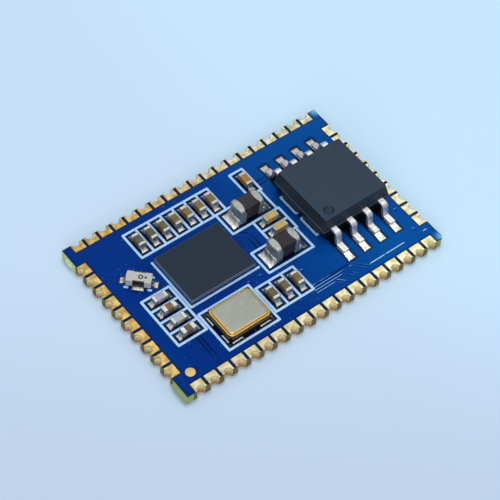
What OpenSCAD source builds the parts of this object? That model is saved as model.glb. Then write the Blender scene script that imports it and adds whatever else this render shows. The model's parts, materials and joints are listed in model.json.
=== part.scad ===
// Castellated wireless audio module: a small circuit board with plated half holes round
// its edge. A radio chip, a flash memory, a crystal, a band filter, two power inductors
// and rows of small chip parts are soldered to its top face, and the underside is plain.
// Millimetres. +X runs along the board, +Y across it and +Z up, out of the top face.
// The origin is the middle of the underside.

/* [Board] */
// Length of the board along X
board_l = 20; // [19:0.5:24]
// Width of the board along Y
board_w = 13; // [12.5:0.5:16]
// Finished thickness, solder mask to solder mask
board_t = 0.8; // [0.6:0.1:1.6]
// Thickness of the copper with its gold plating
copper_t = 0.035; // [0.02:0.005:0.04]
// Thickness of the solder mask on each face
mask_t = 0.045; // [0.04:0.005:0.06]
// How far the solder mask stays back from the board's edge
mask_setback = 0.06; // [0.02:0.02:0.12]
// Gap between a pad and the solder mask round it
mask_gap = 0.04; // [0.02:0.01:0.06]
// How far the snapped panel tabs stand out of the left edge
tab_out = 0.15; // [0.05:0.05:0.3]
// Gap along the edge from a tab to the nearest edge pad
tab_gap = 0.22; // [0.1:0.02:0.4]

/* [Edge pads] */
// Spacing of the edge pads
pad_pitch = 1; // [0.9:0.1:1.3]
// Width of an edge pad
pad_w = 0.82; // [0.6:0.02:0.84]
// How far an edge pad reaches in from the edge
pad_reach = 0.65; // [0.5:0.05:0.8]
// Diameter of the drilled hole that the board's edge cuts in half
pad_drill = 0.6; // [0.4:0.05:0.7]
// Thickness of the plating on the hole's wall
plating_t = 0.03; // [0.02:0.005:0.05]
// Least distance from the end of a long side to its first pad's middle
long_row_margin = 0.9; // [0.8:0.1:1.5]
// Least distance from the end of a short side to its first pad's middle
short_row_margin = 1.9; // [1.6:0.1:2.5]

/* [Fiducial] */
// Diameter of the round camera mark
fiducial_d = 0.65; // [0.4:0.05:0.8]
// Bare ring between the mark and the solder mask
fiducial_gap = 0.1; // [0.05:0.01:0.14]
// Gap between the mark and the reach of the left edge pads
fiducial_from_left = 0.175; // [0.15:0.005:0.5]
// Gap between the mark and the reach of the front edge pads
fiducial_from_front = 0.325; // [0.15:0.005:0.5]

/* [Legend] */
// Thickness of the printed legend
legend_t = 0.015; // [0.01:0.005:0.02]
// Width of the legend's lines
legend_w = 0.16; // [0.1:0.02:0.18]
// Gap between a part's lands and the legend box round it
legend_margin = 0.25; // [0.2:0.01:0.3]
// Gap between the legend and a window in the solder mask
legend_gap = 0.03; // [0.01:0.01:0.06]
// Gap between the radio chip's edge and its corner line
radio_legend_gap = 0.1; // [0.09:0.01:0.2]
// How far the radio chip's front line runs past the chip
radio_legend_past = 0.15; // [0.05:0.05:0.3]
// Width of the flash memory's legend box along Y
flash_legend_w = 3.62; // [3:0.1:4]
// Radius of the pin one notch in the flash memory's legend box
flash_notch_r = 0.25; // [0.15:0.05:0.4]

/* [Tracks] */
// How much lower the solder mask lies where no copper is under it
mask_dip = 0.02; // [0.01:0.005:0.03]
// Gap between the copper under the mask and the board's edge
pour_inset = 0.16; // [0.14:0.02:0.3]
// Gap between the copper under the mask and a pad or a land
pour_gap = 0.1; // [0.09:0.01:0.15]
// Width of the bare cell round a chip part
chip_cell_w = 0.9; // [0.7:0.02:0.92]
// Bare gap on each side of a track
track_gap = 0.09; // [0.06:0.01:0.12]
// Width of a signal track
signal_w = 0.11; // [0.08:0.01:0.14]
// Number of signal tracks from the front row's legend box to the front edge pads
signal_count = 3; // [1:1:3]
// Front edge pad, counted from the middle one, that the first signal track runs to
signal_pad = 5; // [4:1:6]
// Front edge pad, counted from the middle one, that the matching parts' track runs to
matching_pad = -7; // [-8:1:-7]
// Width of the matching parts' track
matching_track_w = 0.15; // [0.1:0.01:0.2]
// Width of the power track between the inductors
power_track_w = 0.25; // [0.15:0.01:0.3]
// Length of the power track's slanting end, along X
power_turn = 0.6; // [0.4:0.05:0.7]
// Width of the feed capacitor's track
feed_track_w = 0.23; // [0.15:0.01:0.3]
// Width of the aerial track
aerial_w = 0.3; // [0.2:0.02:0.36]
// Length of the aerial track from the band filter
aerial_l = 1.6; // [1.2:0.1:1.8]
// Diameter of the dimple in the mask over a via
via_d = 0.24; // [0.15:0.01:0.3]

/* [Solder] */
// Thickness of the solder between a land and a terminal
solder_film = 0.03; // [0.025:0.005:0.05]
// Thickness of a solder fillet's thin edges
solder_tip = 0.03; // [0.02:0.005:0.04]
// How hollow a fillet is: its bow over the straight length between its edges
solder_bow = 0.2; // [0.1:0.02:0.24]
// How far a land's outer edge stays clear of its fillet
land_rim = 0.04; // [0.02:0.01:0.08]

/* [Chip parts] */
// Length of a chip capacitor or chip inductor
chip_l = 1; // [0.8:0.05:1.2]
// Width of a chip capacitor or chip inductor
chip_w = 0.5; // [0.4:0.05:0.6]
// Height of a chip capacitor
capacitor_h = 0.5; // [0.3:0.05:0.6]
// Height of a matching inductor
matching_h = 0.4; // [0.3:0.05:0.6]
// Length of a chip part's end terminals
chip_band = 0.22; // [0.15:0.01:0.28]
// Thickness of a chip part's end terminals
chip_plate = 0.02; // [0.015:0.005:0.03]
// Rounding of a chip part's edges
chip_round = 0.05; // [0.04:0.01:0.08]
// How far a chip part's land reaches past its end
chip_toe = 0.28; // [0.2:0.02:0.3]
// How far a chip part's land reaches under it, past the terminal
chip_heel = 0.06; // [0.02:0.01:0.1]
// How much wider than the part a land is, on each side
chip_land_side = 0.03; // [0:0.01:0.06]
// Height of a chip part's solder fillet, as a share of the part's height
chip_fillet_share = 0.55; // [0.3:0.05:0.8]

/* [Chip rows] */
// Number of capacitors in the back row
back_count = 7; // [2:1:8]
// Spacing of the back row
back_pitch = 0.93; // [0.86:0.01:1.1]
// Width of the feed capacitor's legend box
feed_box_w = 1; // [0.9:0.05:1.2]
// Spacing of the bypass capacitors
bypass_pitch = 0.94; // [0.86:0.01:1.1]
// Number of capacitors in the front row
front_count = 3; // [2:1:4]
// Spacing of the front row
front_pitch = 0.967; // [0.86:0.001:1.1]
// Spacing of the matching parts at the aerial end
matching_pitch = 0.955; // [0.86:0.005:1.1]

/* [Layout] */
// Gap between the left edge pads and the matching parts' legend box
matching_from_pads = 1.03; // [0.6:0.01:1.3]
// Gap between the matching parts' legend box and the radio chip's side line
radio_from_matching = 0.195; // [0.17:0.005:0.4]
// Gap between the radio chip and the power inductors' legend boxes
inductor_from_radio = 0.405; // [0.2:0.005:0.6]
// How far the bypass capacitors' legend box stands out past the inductors' boxes
bypass_past = 0.12; // [0:0.01:0.4]
// How far the feed capacitor's legend box stands out past the inductors' boxes
feed_past = 0.14; // [0:0.01:0.4]
// Gap between the bypass capacitors' legend box and the flash memory's
flash_from_bypass = 0.545; // [0.3:0.005:0.8]
// How far the flash memory's middle lies behind the board's
flash_back = 0.11; // [-0.3:0.01:0.3]
// Gap between the back edge pads and the back row's legend box
back_from_pads = 0.63; // [0.3:0.01:0.8]
// Distance from the radio chip's left side to the middle of the back row's first capacitor
back_in = 0.095; // [0:0.005:0.6]
// Gap between the back row's legend box and the radio chip
radio_from_back = 0.68; // [0.3:0.01:0.8]
// Gap between the radio chip's front line and the crystal's legend box
crystal_from_radio = 0.69; // [0.3:0.01:0.9]
// Gap between the crystal's legend box and the front row's
front_from_crystal = 0.18; // [0.17:0.01:0.5]
// Gap between the front edge pads and the front row's legend box
front_from_pads = 1.05; // [0.3:0.01:1.2]
// Gap between the band filter's lands and the radio chip's side line
filter_from_radio = 0.465; // [0.3:0.005:0.6]
// Distance from the radio chip's back side to the band filter's middle
filter_down = 0.7; // [0.4:0.01:0.9]
// Gap between the band filter's lands and the matching parts' legend box
matching_from_filter = 0.285; // [0.2:0.005:0.5]
// How far a legend box in the inductors' column laps over the next one
box_lap = 0.015; // [0:0.005:0.03]

/* [Power inductors] */
// Length of a power inductor
inductor_l = 2; // [1.6:0.05:2.3]
// Width of a power inductor
inductor_w = 1.25; // [0.9:0.05:1.5]
// Height of a power inductor
inductor_h = 1.2; // [0.8:0.05:1.4]
// Length of its end terminals at the middle of each face
inductor_band = 0.52; // [0.4:0.02:0.6]
// How much shorter the terminals are at the edges than at the middle of a face
inductor_band_bow = 0.16; // [0.1:0.02:0.2]
// Thickness of its end terminals
inductor_plate = 0.045; // [0.03:0.005:0.06]
// Rounding of its edges
inductor_round = 0.13; // [0.08:0.01:0.16]
// How far its lands reach past its ends
inductor_toe = 0.5; // [0.3:0.05:0.6]
// Height of its solder fillets
inductor_fillet_h = 0.72; // [0.4:0.02:0.76]

/* [Flash memory] */
// Length of the body along X
flash_l = 5.23; // [4.8:0.05:5.6]
// Width of the body along Y
flash_w = 5.28; // [5:0.05:5.5]
// Height of the body's top over the board
flash_top = 1.9; // [1.6:0.05:2.2]
// Gap between the body and the board
flash_standoff = 0.1; // [0.06:0.02:0.2]
// How far the mould's draft pulls in the top and bottom edges
flash_draft = 0.27; // [0.1:0.01:0.35]
// Rounding of the body's upright corners
flash_corner_r = 0.12; // [0.05:0.01:0.2]
// Diameter of the pin one dimple
dimple_d = 0.7; // [0.4:0.05:1]
// Depth of the pin one dimple
dimple_depth = 0.04; // [0.02:0.01:0.1]
// Distance of the dimple's middle from the body's left and front sides
dimple_in = 0.85; // [0.7:0.05:1.2]
// Number of leads on each side
lead_count = 4; // [2:1:4]
// Spacing of the leads
lead_pitch = 1.27; // [1:0.01:1.28]
// Width of a lead
lead_w = 0.42; // [0.3:0.01:0.5]
// Thickness of a lead
lead_t = 0.2; // [0.15:0.01:0.25]
// Distance across the two rows of toes
lead_span = 7.9; // [7.7:0.05:8.2]
// Straight run of a lead from the body to its first bend
lead_shoulder = 0.2; // [0.1:0.02:0.3]
// Radius of a lead's bends at the middle of its thickness
lead_bend_r = 0.2; // [0.16:0.01:0.26]
// Slope of a lead's leg
lead_slope = 80; // [70:1:86]
// How far a lead is moulded into the body
lead_anchor = 0.45; // [0.3:0.05:0.6]
// Width of a lead's land
flash_land_w = 0.63; // [0.52:0.01:0.7]
// How far a land reaches past its lead's toe
flash_toe = 0.62; // [0.4:0.02:0.7]
// How far a land reaches inward from its lead's heel
flash_heel = 1; // [0.6:0.02:1.1]
// How far the toe's solder fillet runs
flash_fillet_run = 0.4; // [0.2:0.02:0.5]
// Height of the toe's solder fillet
flash_fillet_h = 0.16; // [0.08:0.01:0.2]

/* [Radio chip] */
// Length of the die along X
radio_l = 4.9; // [4:0.05:5.3]
// Width of the die along Y
radio_w = 3.94; // [3:0.02:4.3]
// Thickness of the die
radio_t = 0.28; // [0.2:0.01:0.5]
// Chamfer of the die's sawn top edge
radio_chamfer = 0.02; // [0.01:0.005:0.04]
// Gap between the die and the board
ball_gap = 0.12; // [0.08:0.01:0.16]
// Spacing of the solder balls
ball_pitch = 0.4; // [0.38:0.01:0.5]
// Diameter of a solder ball at its widest
ball_d = 0.22; // [0.2:0.01:0.26]
// Diameter of a ball's land
ball_land_d = 0.2; // [0.16:0.01:0.22]
// Least distance from the die's edge to the first ball's middle
ball_margin = 0.24; // [0.2:0.02:0.4]

/* [Crystal] */
// Length of the crystal
crystal_l = 3.2; // [2.5:0.05:3.6]
// Width of the crystal
crystal_w = 2.5; // [2:0.05:2.8]
// Height of the ceramic base
crystal_base_h = 0.46; // [0.3:0.02:0.8]
// Radius of the notch at each corner of the base
crystal_notch_r = 0.16; // [0.08:0.02:0.22]
// Height of the seal ring
seal_h = 0.09; // [0.05:0.01:0.15]
// Width of the seal ring's wall
seal_w = 0.36; // [0.25:0.01:0.5]
// How far the seal ring stays in from the base's sides
seal_inset = 0.05; // [0.02:0.01:0.1]
// Rounding of the seal ring's corners
seal_corner_r = 0.34; // [0.2:0.02:0.5]
// Thickness of the lid
lid_t = 0.12; // [0.08:0.01:0.2]
// How far the lid stays in from the seal ring's sides
lid_inset = 0.07; // [0.04:0.01:0.12]
// Chamfer of the lid's top edge
lid_chamfer = 0.06; // [0.03:0.01:0.07]
// Length of a land along X
crystal_land_l = 1.15; // [0.9:0.05:1.4]
// Width of a land along Y
crystal_land_w = 0.98; // [0.8:0.02:1.1]
// How far the lands reach past the base
crystal_toe = 0.1; // [0.08:0.01:0.2]
// Gap between the lands and the crystal's legend box
crystal_legend_margin = 0.2; // [0.15:0.01:0.3]

/* [Band filter] */
// Turn of the band filter's long axis
filter_turn = -45; // [-50:1:-40]
// Length of the band filter
filter_l = 1.6; // [1.5:0.05:2]
// Width of the band filter
filter_w = 0.8; // [0.6:0.05:1]
// Height of the band filter
filter_h = 0.6; // [0.4:0.05:0.9]
// Width of its end terminals
filter_end_w = 0.44; // [0.3:0.02:0.6]
// Length of its side terminals
filter_side_l = 0.72; // [0.5:0.02:0.76]
// How far a terminal wraps over the top and bottom
filter_wrap = 0.08; // [0.06:0.01:0.12]
// Thickness of its terminals
filter_plate = 0.02; // [0.015:0.005:0.03]
// Rounding of its edges
filter_round = 0.05; // [0.04:0.01:0.08]
// How far its end lands reach past it
filter_end_toe = 0.42; // [0.3:0.02:0.46]
// How far its side lands reach past it
filter_side_toe = 0.22; // [0.16:0.02:0.26]
// Height of its solder fillets
filter_fillet_h = 0.28; // [0.12:0.02:0.3]
// Length of the legend's dash at each of its corners, between the dash's round ends
filter_dash_l = 0.14; // [0.1:0.02:0.2]

/* [Hidden] */
$fn = 48;
// How far a cutting solid runs past the face it cuts
cut = board_t;
// Heights of the board's layers
lam_bottom = mask_t;
lam_top = board_t - mask_t;
land_top = lam_top + copper_t;
seat = land_top + solder_film;
// Edge pad rows
SIDES = ["front", "right", "back", "left"];
long_count = floor((board_l - 2 * long_row_margin) / pad_pitch) + 1;
short_count = floor((board_w - 2 * short_row_margin) / pad_pitch) + 1;
short_row_end = (short_count - 1) / 2 * pad_pitch + pad_w / 2;
function on_long(side) = side == "front" || side == "back";
function side_count(side) = on_long(side) ? long_count : short_count;
function side_depth(side) = (on_long(side) ? board_w : board_l) / 2;
function side_turn(side) = search([side], SIDES)[0] * 90;
fiducial_x = pad_reach + fiducial_from_left + fiducial_d / 2 - board_l / 2;
fiducial_y = pad_reach + fiducial_from_front + fiducial_d / 2 - board_w / 2;
// Lengths that lands, fillets and legend boxes share
chip_land_w = chip_w + 2 * chip_land_side;
chip_land_l = chip_band + chip_heel + chip_toe;
chip_box_l = chip_l + 2 * (chip_toe + legend_margin);
inductor_land_l = inductor_band + inductor_toe;
inductor_box = [
    inductor_l + 2 * (inductor_toe + legend_margin),
    inductor_w + 2 * (chip_land_side + legend_margin)
];
crystal_box = [crystal_l, crystal_w] + 2 * (crystal_toe + crystal_legend_margin) * [1, 1];
function turned_reach(half, turn) = [
    half.x * abs(cos(turn)) + half.y * abs(sin(turn)),
    half.x * abs(sin(turn)) + half.y * abs(cos(turn))
];
filter_ends = turned_reach([filter_l / 2 + filter_end_toe, filter_end_w / 2], filter_turn);
filter_sides = turned_reach([filter_side_l / 2, filter_w / 2 + filter_side_toe], filter_turn);
filter_reach = [max(filter_ends.x, filter_sides.x), max(filter_ends.y, filter_sides.y)];
// Places along the board, from the left edge to the right
matching_x = pad_reach + matching_from_pads + chip_box_l / 2 - board_l / 2;
radio_line_x = matching_x + chip_box_l / 2 + radio_from_matching;
radio_x = radio_line_x + radio_legend_gap + radio_l / 2;
filter_x = radio_line_x - filter_from_radio - filter_reach.x;
crystal_x = radio_line_x + crystal_box.x / 2;
back_x = radio_x - radio_l / 2 + back_in;
front_x = crystal_x + crystal_box.x / 2 + front_from_crystal + front_pitch / 2;
inductor_x = radio_x + radio_l / 2 + inductor_from_radio + inductor_box.x / 2;
inductor_right = inductor_x + inductor_box.x / 2;
bypass_x = inductor_right + bypass_past - chip_box_l / 2;
feed_x = inductor_right + feed_past - feed_box_w / 2;
flash_x = inductor_right + bypass_past + flash_from_bypass + flash_l / 2;
// Places across the board, from the back edge to the front
back_y = board_w / 2 - pad_reach - back_from_pads - chip_box_l / 2;
back_line_y = back_y - chip_box_l / 2;
radio_y = back_line_y - radio_from_back - radio_w / 2;
radio_line_y = radio_y - radio_w / 2 - radio_legend_gap;
filter_y = radio_y + radio_w / 2 - filter_down;
matching_y = filter_y - filter_reach.y - matching_from_filter - matching_pitch / 2;
crystal_y = radio_line_y - crystal_from_radio - crystal_box.y / 2;
front_y = pad_reach + front_from_pads + chip_box_l / 2 - board_w / 2;
inductor_1_y = back_line_y + box_lap - inductor_box.y / 2;
bypass_y = inductor_1_y - inductor_box.y / 2 + box_lap - bypass_pitch / 2;
inductor_2_y = bypass_y - 1.5 * bypass_pitch + box_lap - inductor_box.y / 2;
flash_y = flash_back;
// Tracks, each as a path and a width
radio_right = radio_x + radio_l / 2;
front_right = front_x + (front_count - 0.5) * front_pitch;
matching_low = matching_y - 3.5 * matching_pitch;
power_x = inductor_x - inductor_l / 2;
power_end_y = inductor_1_y - inductor_box.y / 2;
feed_track_y = back_y - chip_l / 2;
signal_y = front_y - chip_box_l / 2 + legend_w / 2;
function front_pad(i) = [i * pad_pitch, pad_reach - board_w / 2];
function signal_path(y, pad) = [[front_right, y], [pad.x - y + pad.y, y], pad];
TRACKS = concat(
    [for (i = [0 : signal_count - 1])
        [signal_path(signal_y - i * (signal_w + track_gap), front_pad(signal_pad - i)), signal_w]],
    [[[[front_pad(matching_pad).x, matching_low], front_pad(matching_pad)], matching_track_w]],
    [[[
        [power_x, inductor_2_y + inductor_box.y / 2],
        [power_x, power_end_y - power_turn],
        [power_x - power_turn, power_end_y]
    ], power_track_w]],
    [[[[feed_x, feed_track_y], [flash_x - (lead_count - 1) / 2 * lead_pitch, feed_track_y]], feed_track_w]]
);
// Vias, each near the part that it serves
VIAS = [
    [radio_line_x - 0.2, back_line_y - 0.28],
    [radio_line_x + 0.96, back_line_y - 0.28],
    [radio_line_x - 0.24, filter_y - 0.18],
    [radio_right + 0.37, radio_y + 0.18],
    [crystal_x + crystal_box.x / 2 + 0.17, radio_line_y - 0.62],
    [crystal_x + crystal_box.x / 2 + 1.06, radio_line_y - 0.62],
    [front_right + 0.28, front_y + 0.42],
    [back_x + (back_count - 0.5) * back_pitch + 0.6, back_y + 1.05],
    [feed_x - 0.88, back_y - 0.24],
    [flash_x + flash_l / 2 + 0.2, flash_y - 3.2],
    [flash_x + flash_l / 2 + 0.16, flash_y - 5.06]
];
// Chip parts: name, middle, turn of the long axis, height, whether it is a capacitor
function row(name, count, at, step, turn) =
    [for (i = [0 : count - 1]) [str(name, "_", i + 1), at + i * step, turn, capacitor_h, true]];
MATCHING = [for (i = [0 : 3]) [
    str(i % 2 == 0 ? "matching_inductor_" : "matching_capacitor_", floor(i / 2) + 1),
    [matching_x, matching_y - i * matching_pitch],
    0,
    i % 2 == 0 ? matching_h : capacitor_h,
    i % 2 == 1
]];
CHIPS = concat(
    row("back_capacitor", back_count, [back_x, back_y], [back_pitch, 0], 90),
    [["feed_capacitor", [feed_x, back_y], 90, capacitor_h, true]],
    row("bypass_capacitor", 2, [bypass_x, bypass_y], [0, -bypass_pitch], 0),
    row("front_capacitor", front_count, [front_x, front_y], [front_pitch, 0], 90),
    MATCHING
);
// Power inductors: name and middle
INDUCTORS = [
    ["power_inductor_1", [inductor_x, inductor_1_y]],
    ["power_inductor_2", [inductor_x, inductor_2_y]]
];
// Radio chip's ball grid
ball_columns = floor((radio_l - 2 * ball_margin) / ball_pitch) + 1;
ball_rows = floor((radio_w - 2 * ball_margin) / ball_pitch) + 1;
ball_h = board_t + ball_gap - land_top;
// Lead path, as distance out from the flash memory's middle and height over the board
lead_z = (flash_top + flash_standoff) / 2;
foot_z = seat - board_t + lead_t / 2;
bend_1 = flash_w / 2 + lead_shoulder;
leg_l = (lead_z - foot_z - 2 * lead_bend_r * (1 - cos(lead_slope))) / sin(lead_slope);
bend_2 = bend_1 + 2 * lead_bend_r * sin(lead_slope) + leg_l * cos(lead_slope);
lead_toe = lead_span / 2;
// Straight steps in each bend of a lead
bend_steps = 10;
// Crystal's ring and lid sizes
seal_size = [crystal_l - 2 * seal_inset, crystal_w - 2 * seal_inset];
lid_size = [seal_size.x - 2 * lid_inset, seal_size.y - 2 * lid_inset];
// Colours
laminate_green = [0.62, 0.68, 0.36];
mask_blue = [0.02, 0.22, 0.56];
legend_white = [0.72, 0.85, 0.97];
pad_gold = [0.85, 0.74, 0.42];
tin = [0.82, 0.83, 0.82];
mould_black = [0.2, 0.22, 0.25];
silicon_grey = [0.22, 0.24, 0.28];
ceramic_dark = [0.15, 0.13, 0.16];
seal_gold = [0.84, 0.66, 0.26];
lid_grey = [0.7, 0.69, 0.66];
filter_white = [0.8, 0.79, 0.76];
ferrite = [0.2, 0.17, 0.17];
capacitor_brown = [0.5, 0.4, 0.25];
matching_grey = [0.64, 0.64, 0.7];

// Shared shapes

module rounded_rect(l, w, r) {
    square([l - 2 * r, w], center = true);
    square([l, w - 2 * r], center = true);
    for (sx = [-1, 1], sy = [-1, 1])
        translate([sx * (l / 2 - r), sy * (w / 2 - r)]) circle(r = r);
}

// A line of width w through points, with round ends and joints
module stroke(path, w) {
    for (i = [1 : len(path) - 1]) {
        run = path[i] - path[i - 1];
        translate(path[i - 1]) rotate(atan2(run.y, run.x)) translate([0, -w / 2]) square([norm(run), w]);
    }
    for (point = path) translate(point) circle(d = w);
}

// A block on z = 0 with all its edges rounded
module rounded_block(l, w, h, r) {
    intersection() {
        linear_extrude(h) rounded_rect(l, w, r);
        translate([0, w / 2, h / 2]) rotate([90, 0, 0]) linear_extrude(w) rounded_rect(l, h, r);
        translate([-l / 2, 0, h / 2]) rotate([90, 0, 90]) linear_extrude(l) rounded_rect(w, h, r);
    }
}

// The block that is left inside a rounded block under a skin of thickness t
module core_block(l, w, h, r, t)
    translate([0, 0, t]) rounded_block(l - 2 * t, w - 2 * t, h - 2 * t, r - t);

module skin_block(l, w, h, r, t) {
    difference() {
        rounded_block(l, w, h, r);
        core_block(l, w, h, r, t);
    }
}

// Solder under a terminal that ends at x = 0, with a hollow fillet out to x = run.
// The film runs back to x = -under, and the whole is as wide as the terminal.
module solder_joint(under, run, rise, wide) {
    from = [solder_tip, rise];
    to = [run, solder_tip];
    chord = norm(to - from);
    bow = solder_bow * chord;
    radius = (chord * chord / 4 + bow * bow) / (2 * bow);
    outward = [from.y - to.y, to.x - from.x] / chord;
    centre = (from + to) / 2 + outward * (radius - bow);
    translate([0, wide / 2, land_top]) rotate([90, 0, 0]) linear_extrude(wide) {
        translate([-under, 0]) square([under, solder_film]);
        difference() {
            square([run, rise]);
            translate(centre) circle(r = radius);
        }
    }
}

// Board

module along_side(side)
    rotate(side_turn(side))
        for (i = [0 : side_count(side) - 1])
            translate([(i - (side_count(side) - 1) / 2) * pad_pitch, -side_depth(side)]) children();

module edge_pad_outline(grow = 0)
    translate([-pad_w / 2 - grow, 0]) square([pad_w + 2 * grow, pad_reach + grow]);

// One edge pad: a pad on each face, joined by the plated wall of the half hole
module edge_pad() {
    for (z = [lam_bottom - copper_t, lam_top])
        translate([0, 0, z]) linear_extrude(copper_t) difference() {
            edge_pad_outline();
            circle(d = pad_drill - 2 * plating_t);
        }
    translate([0, 0, lam_bottom - copper_t]) linear_extrude(land_top - lam_bottom + copper_t) difference() {
        intersection() {
            circle(d = pad_drill);
            translate([-pad_drill / 2, 0]) square([pad_drill, pad_drill / 2]);
        }
        circle(d = pad_drill - 2 * plating_t);
    }
}

module castellations(side)
    color(pad_gold) along_side(side) edge_pad();

// What is left of the panel where the board was snapped off its scored tabs
module panel_tab(l) {
    score = (lam_top - lam_bottom) / 3;
    translate([-board_l / 2, l / 2, 0]) rotate([90, 0, 0]) linear_extrude(l) polygon([
        [0, lam_bottom],
        [-tab_out, lam_bottom + score],
        [-tab_out, lam_top - score],
        [0, lam_top]
    ]);
}

// A tab that tore off in a bow
module bowed_tab(l) {
    radius = (l * l / 4 + tab_out * tab_out) / (2 * tab_out);
    intersection() {
        panel_tab(l);
        translate([radius - board_l / 2 - tab_out, 0, 0]) cylinder(r = radius, h = board_t);
    }
}

module pcb_laminate() color(laminate_green) {
    tab_l = board_w / 2 - short_row_end - tab_gap;
    translate([0, 0, lam_bottom]) linear_extrude(lam_top - lam_bottom) difference() {
        square([board_l, board_w], center = true);
        for (side = SIDES) along_side(side) circle(d = pad_drill);
    }
    translate([0, (tab_l - board_w) / 2, 0]) panel_tab(tab_l);
    translate([0, (board_w - tab_l) / 2, 0]) bowed_tab(tab_l);
}

module mask_outline() {
    difference() {
        square([board_l - 2 * mask_setback, board_w - 2 * mask_setback], center = true);
        for (side = SIDES) along_side(side) {
            edge_pad_outline(mask_gap);
            circle(d = pad_drill);
        }
    }
}

// Where copper lies under the top mask, cut back round pads and parts and beside tracks
module copper_pour()
    difference() {
        square([board_l - 2 * pour_inset, board_w - 2 * pour_inset], center = true);
        for (side = SIDES) along_side(side) edge_pad_outline(pour_gap);
        at_fiducial() circle(d = fiducial_d + 2 * (fiducial_gap + pour_gap - mask_gap));
        lands(pour_gap);
        for (part = CHIPS) at_chip(part) square([chip_box_l, chip_cell_w], center = true);
        for (part = INDUCTORS) translate(part[1]) square(inductor_box, center = true);
        translate([crystal_x, crystal_y]) square(crystal_box, center = true);
        translate([radio_x, radio_y]) square([radio_l, radio_w], center = true);
        for (track = TRACKS) track_gaps(track[0], track[1]);
        at_filter() track_gaps([[-filter_l / 2, 0], [-filter_l / 2 - aerial_l, 0]], aerial_w);
        for (via = VIAS) translate(via) circle(d = via_d);
    }

module track_gaps(path, w)
    difference() {
        stroke(path, w + 2 * track_gap);
        stroke(path, w);
    }

// The mask stands higher where copper lies under it, and the legend has level ground
module solder_mask_top() color(mask_blue)
    translate([0, 0, lam_top]) {
        linear_extrude(mask_t - mask_dip) difference() {
            mask_outline();
            lands(mask_gap);
            at_fiducial() circle(d = fiducial_d + 2 * fiducial_gap);
        }
        translate([0, 0, mask_t - mask_dip]) linear_extrude(mask_dip) {
            copper_pour();
            legend_outline();
        }
    }

module solder_mask_bottom() color(mask_blue) linear_extrude(mask_t) mask_outline();

module at_fiducial() translate([fiducial_x, fiducial_y]) children();

module fiducial_mark() color(pad_gold)
    translate([0, 0, lam_top]) linear_extrude(copper_t) at_fiducial() circle(d = fiducial_d);

// Lands, each grown by the same gap on every side

module land(x, l, w, grow)
    translate([x - grow, -w / 2 - grow]) square([l + 2 * grow, w + 2 * grow]);

module end_lands(l, toe, land_l, w, grow)
    for (turn = [0, 180]) rotate(turn) land(l / 2 + toe - land_l, land_l, w, grow);

module filter_lands(grow) {
    end_lands(filter_l, filter_end_toe, filter_end_toe + filter_wrap, filter_end_w, grow);
    rotate(90) end_lands(filter_w, filter_side_toe, filter_side_toe + filter_wrap, filter_side_l, grow);
}

module crystal_lands(grow)
    for (sx = [-1, 1], sy = [-1, 1])
        translate([
            sx * ((crystal_l - crystal_land_l) / 2 + crystal_toe),
            sy * ((crystal_w - crystal_land_w) / 2 + crystal_toe)
        ])
            square([crystal_land_l + 2 * grow, crystal_land_w + 2 * grow], center = true);

module lands(grow = 0) {
    for (part = CHIPS) at_chip(part) end_lands(chip_l, chip_toe, chip_land_l, chip_land_w, grow);
    for (part = INDUCTORS) translate(part[1])
        end_lands(inductor_l, inductor_toe, inductor_land_l, inductor_w + 2 * chip_land_side, grow);
    at_leads() land(bend_2 - flash_heel, lead_toe + flash_toe - bend_2 + flash_heel, flash_land_w, grow);
    translate([crystal_x, crystal_y]) crystal_lands(grow);
    at_filter() filter_lands(grow);
    at_balls() circle(d = ball_land_d + 2 * grow);
}

module component_lands() color(pad_gold)
    translate([0, 0, lam_top]) linear_extrude(copper_t) lands();

// Printed legend

module line(from, to) stroke([from, to], legend_w);

module box(low, high) {
    line(low, [high.x, low.y]);
    line([high.x, low.y], high);
    line(high, [low.x, high.y]);
    line([low.x, high.y], low);
}

// A box round a row of chip parts that stand side by side, with a line between neighbours
module row_box(first, count, step, wide, along) {
    side = [along.y, along.x] * wide / 2;
    half = along * chip_box_l / 2;
    last = first + (count - 1) * step;
    low = [min(first.x, last.x), min(first.y, last.y)] - side - half;
    high = [max(first.x, last.x), max(first.y, last.y)] + side + half;
    box(low, high);
    if (count > 1) for (i = [0 : count - 2]) {
        middle = first + (i + 0.5) * step;
        line(middle - half, middle + half);
    }
}

module radio_legend() {
    corner = [radio_line_x, radio_line_y];
    line(corner, [corner.x, radio_y + radio_w / 2]);
    line(corner, [radio_x + radio_l / 2 + radio_legend_past, corner.y]);
}

module flash_legend() {
    half = [flash_l, flash_legend_w] / 2;
    difference() {
        box([flash_x, flash_y] - half, [flash_x, flash_y] + half);
        translate([flash_x - half.x, flash_y]) circle(r = flash_notch_r);
    }
    translate([flash_x - half.x, flash_y]) intersection() {
        difference() {
            circle(r = flash_notch_r + legend_w / 2);
            circle(r = flash_notch_r - legend_w / 2);
        }
        translate([0, -flash_notch_r - legend_w])
            square([flash_notch_r + legend_w, 2 * (flash_notch_r + legend_w)]);
    }
}

module crystal_legend()
    box([crystal_x, crystal_y] - crystal_box / 2, [crystal_x, crystal_y] + crystal_box / 2);

module filter_legend() {
    side = (filter_w + legend_w) / 2;
    at_filter() for (sx = [-1, 1], sy = [-1, 1])
        line([sx * (filter_l / 2 - filter_dash_l), sy * side], [sx * filter_l / 2, sy * side]);
}

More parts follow.
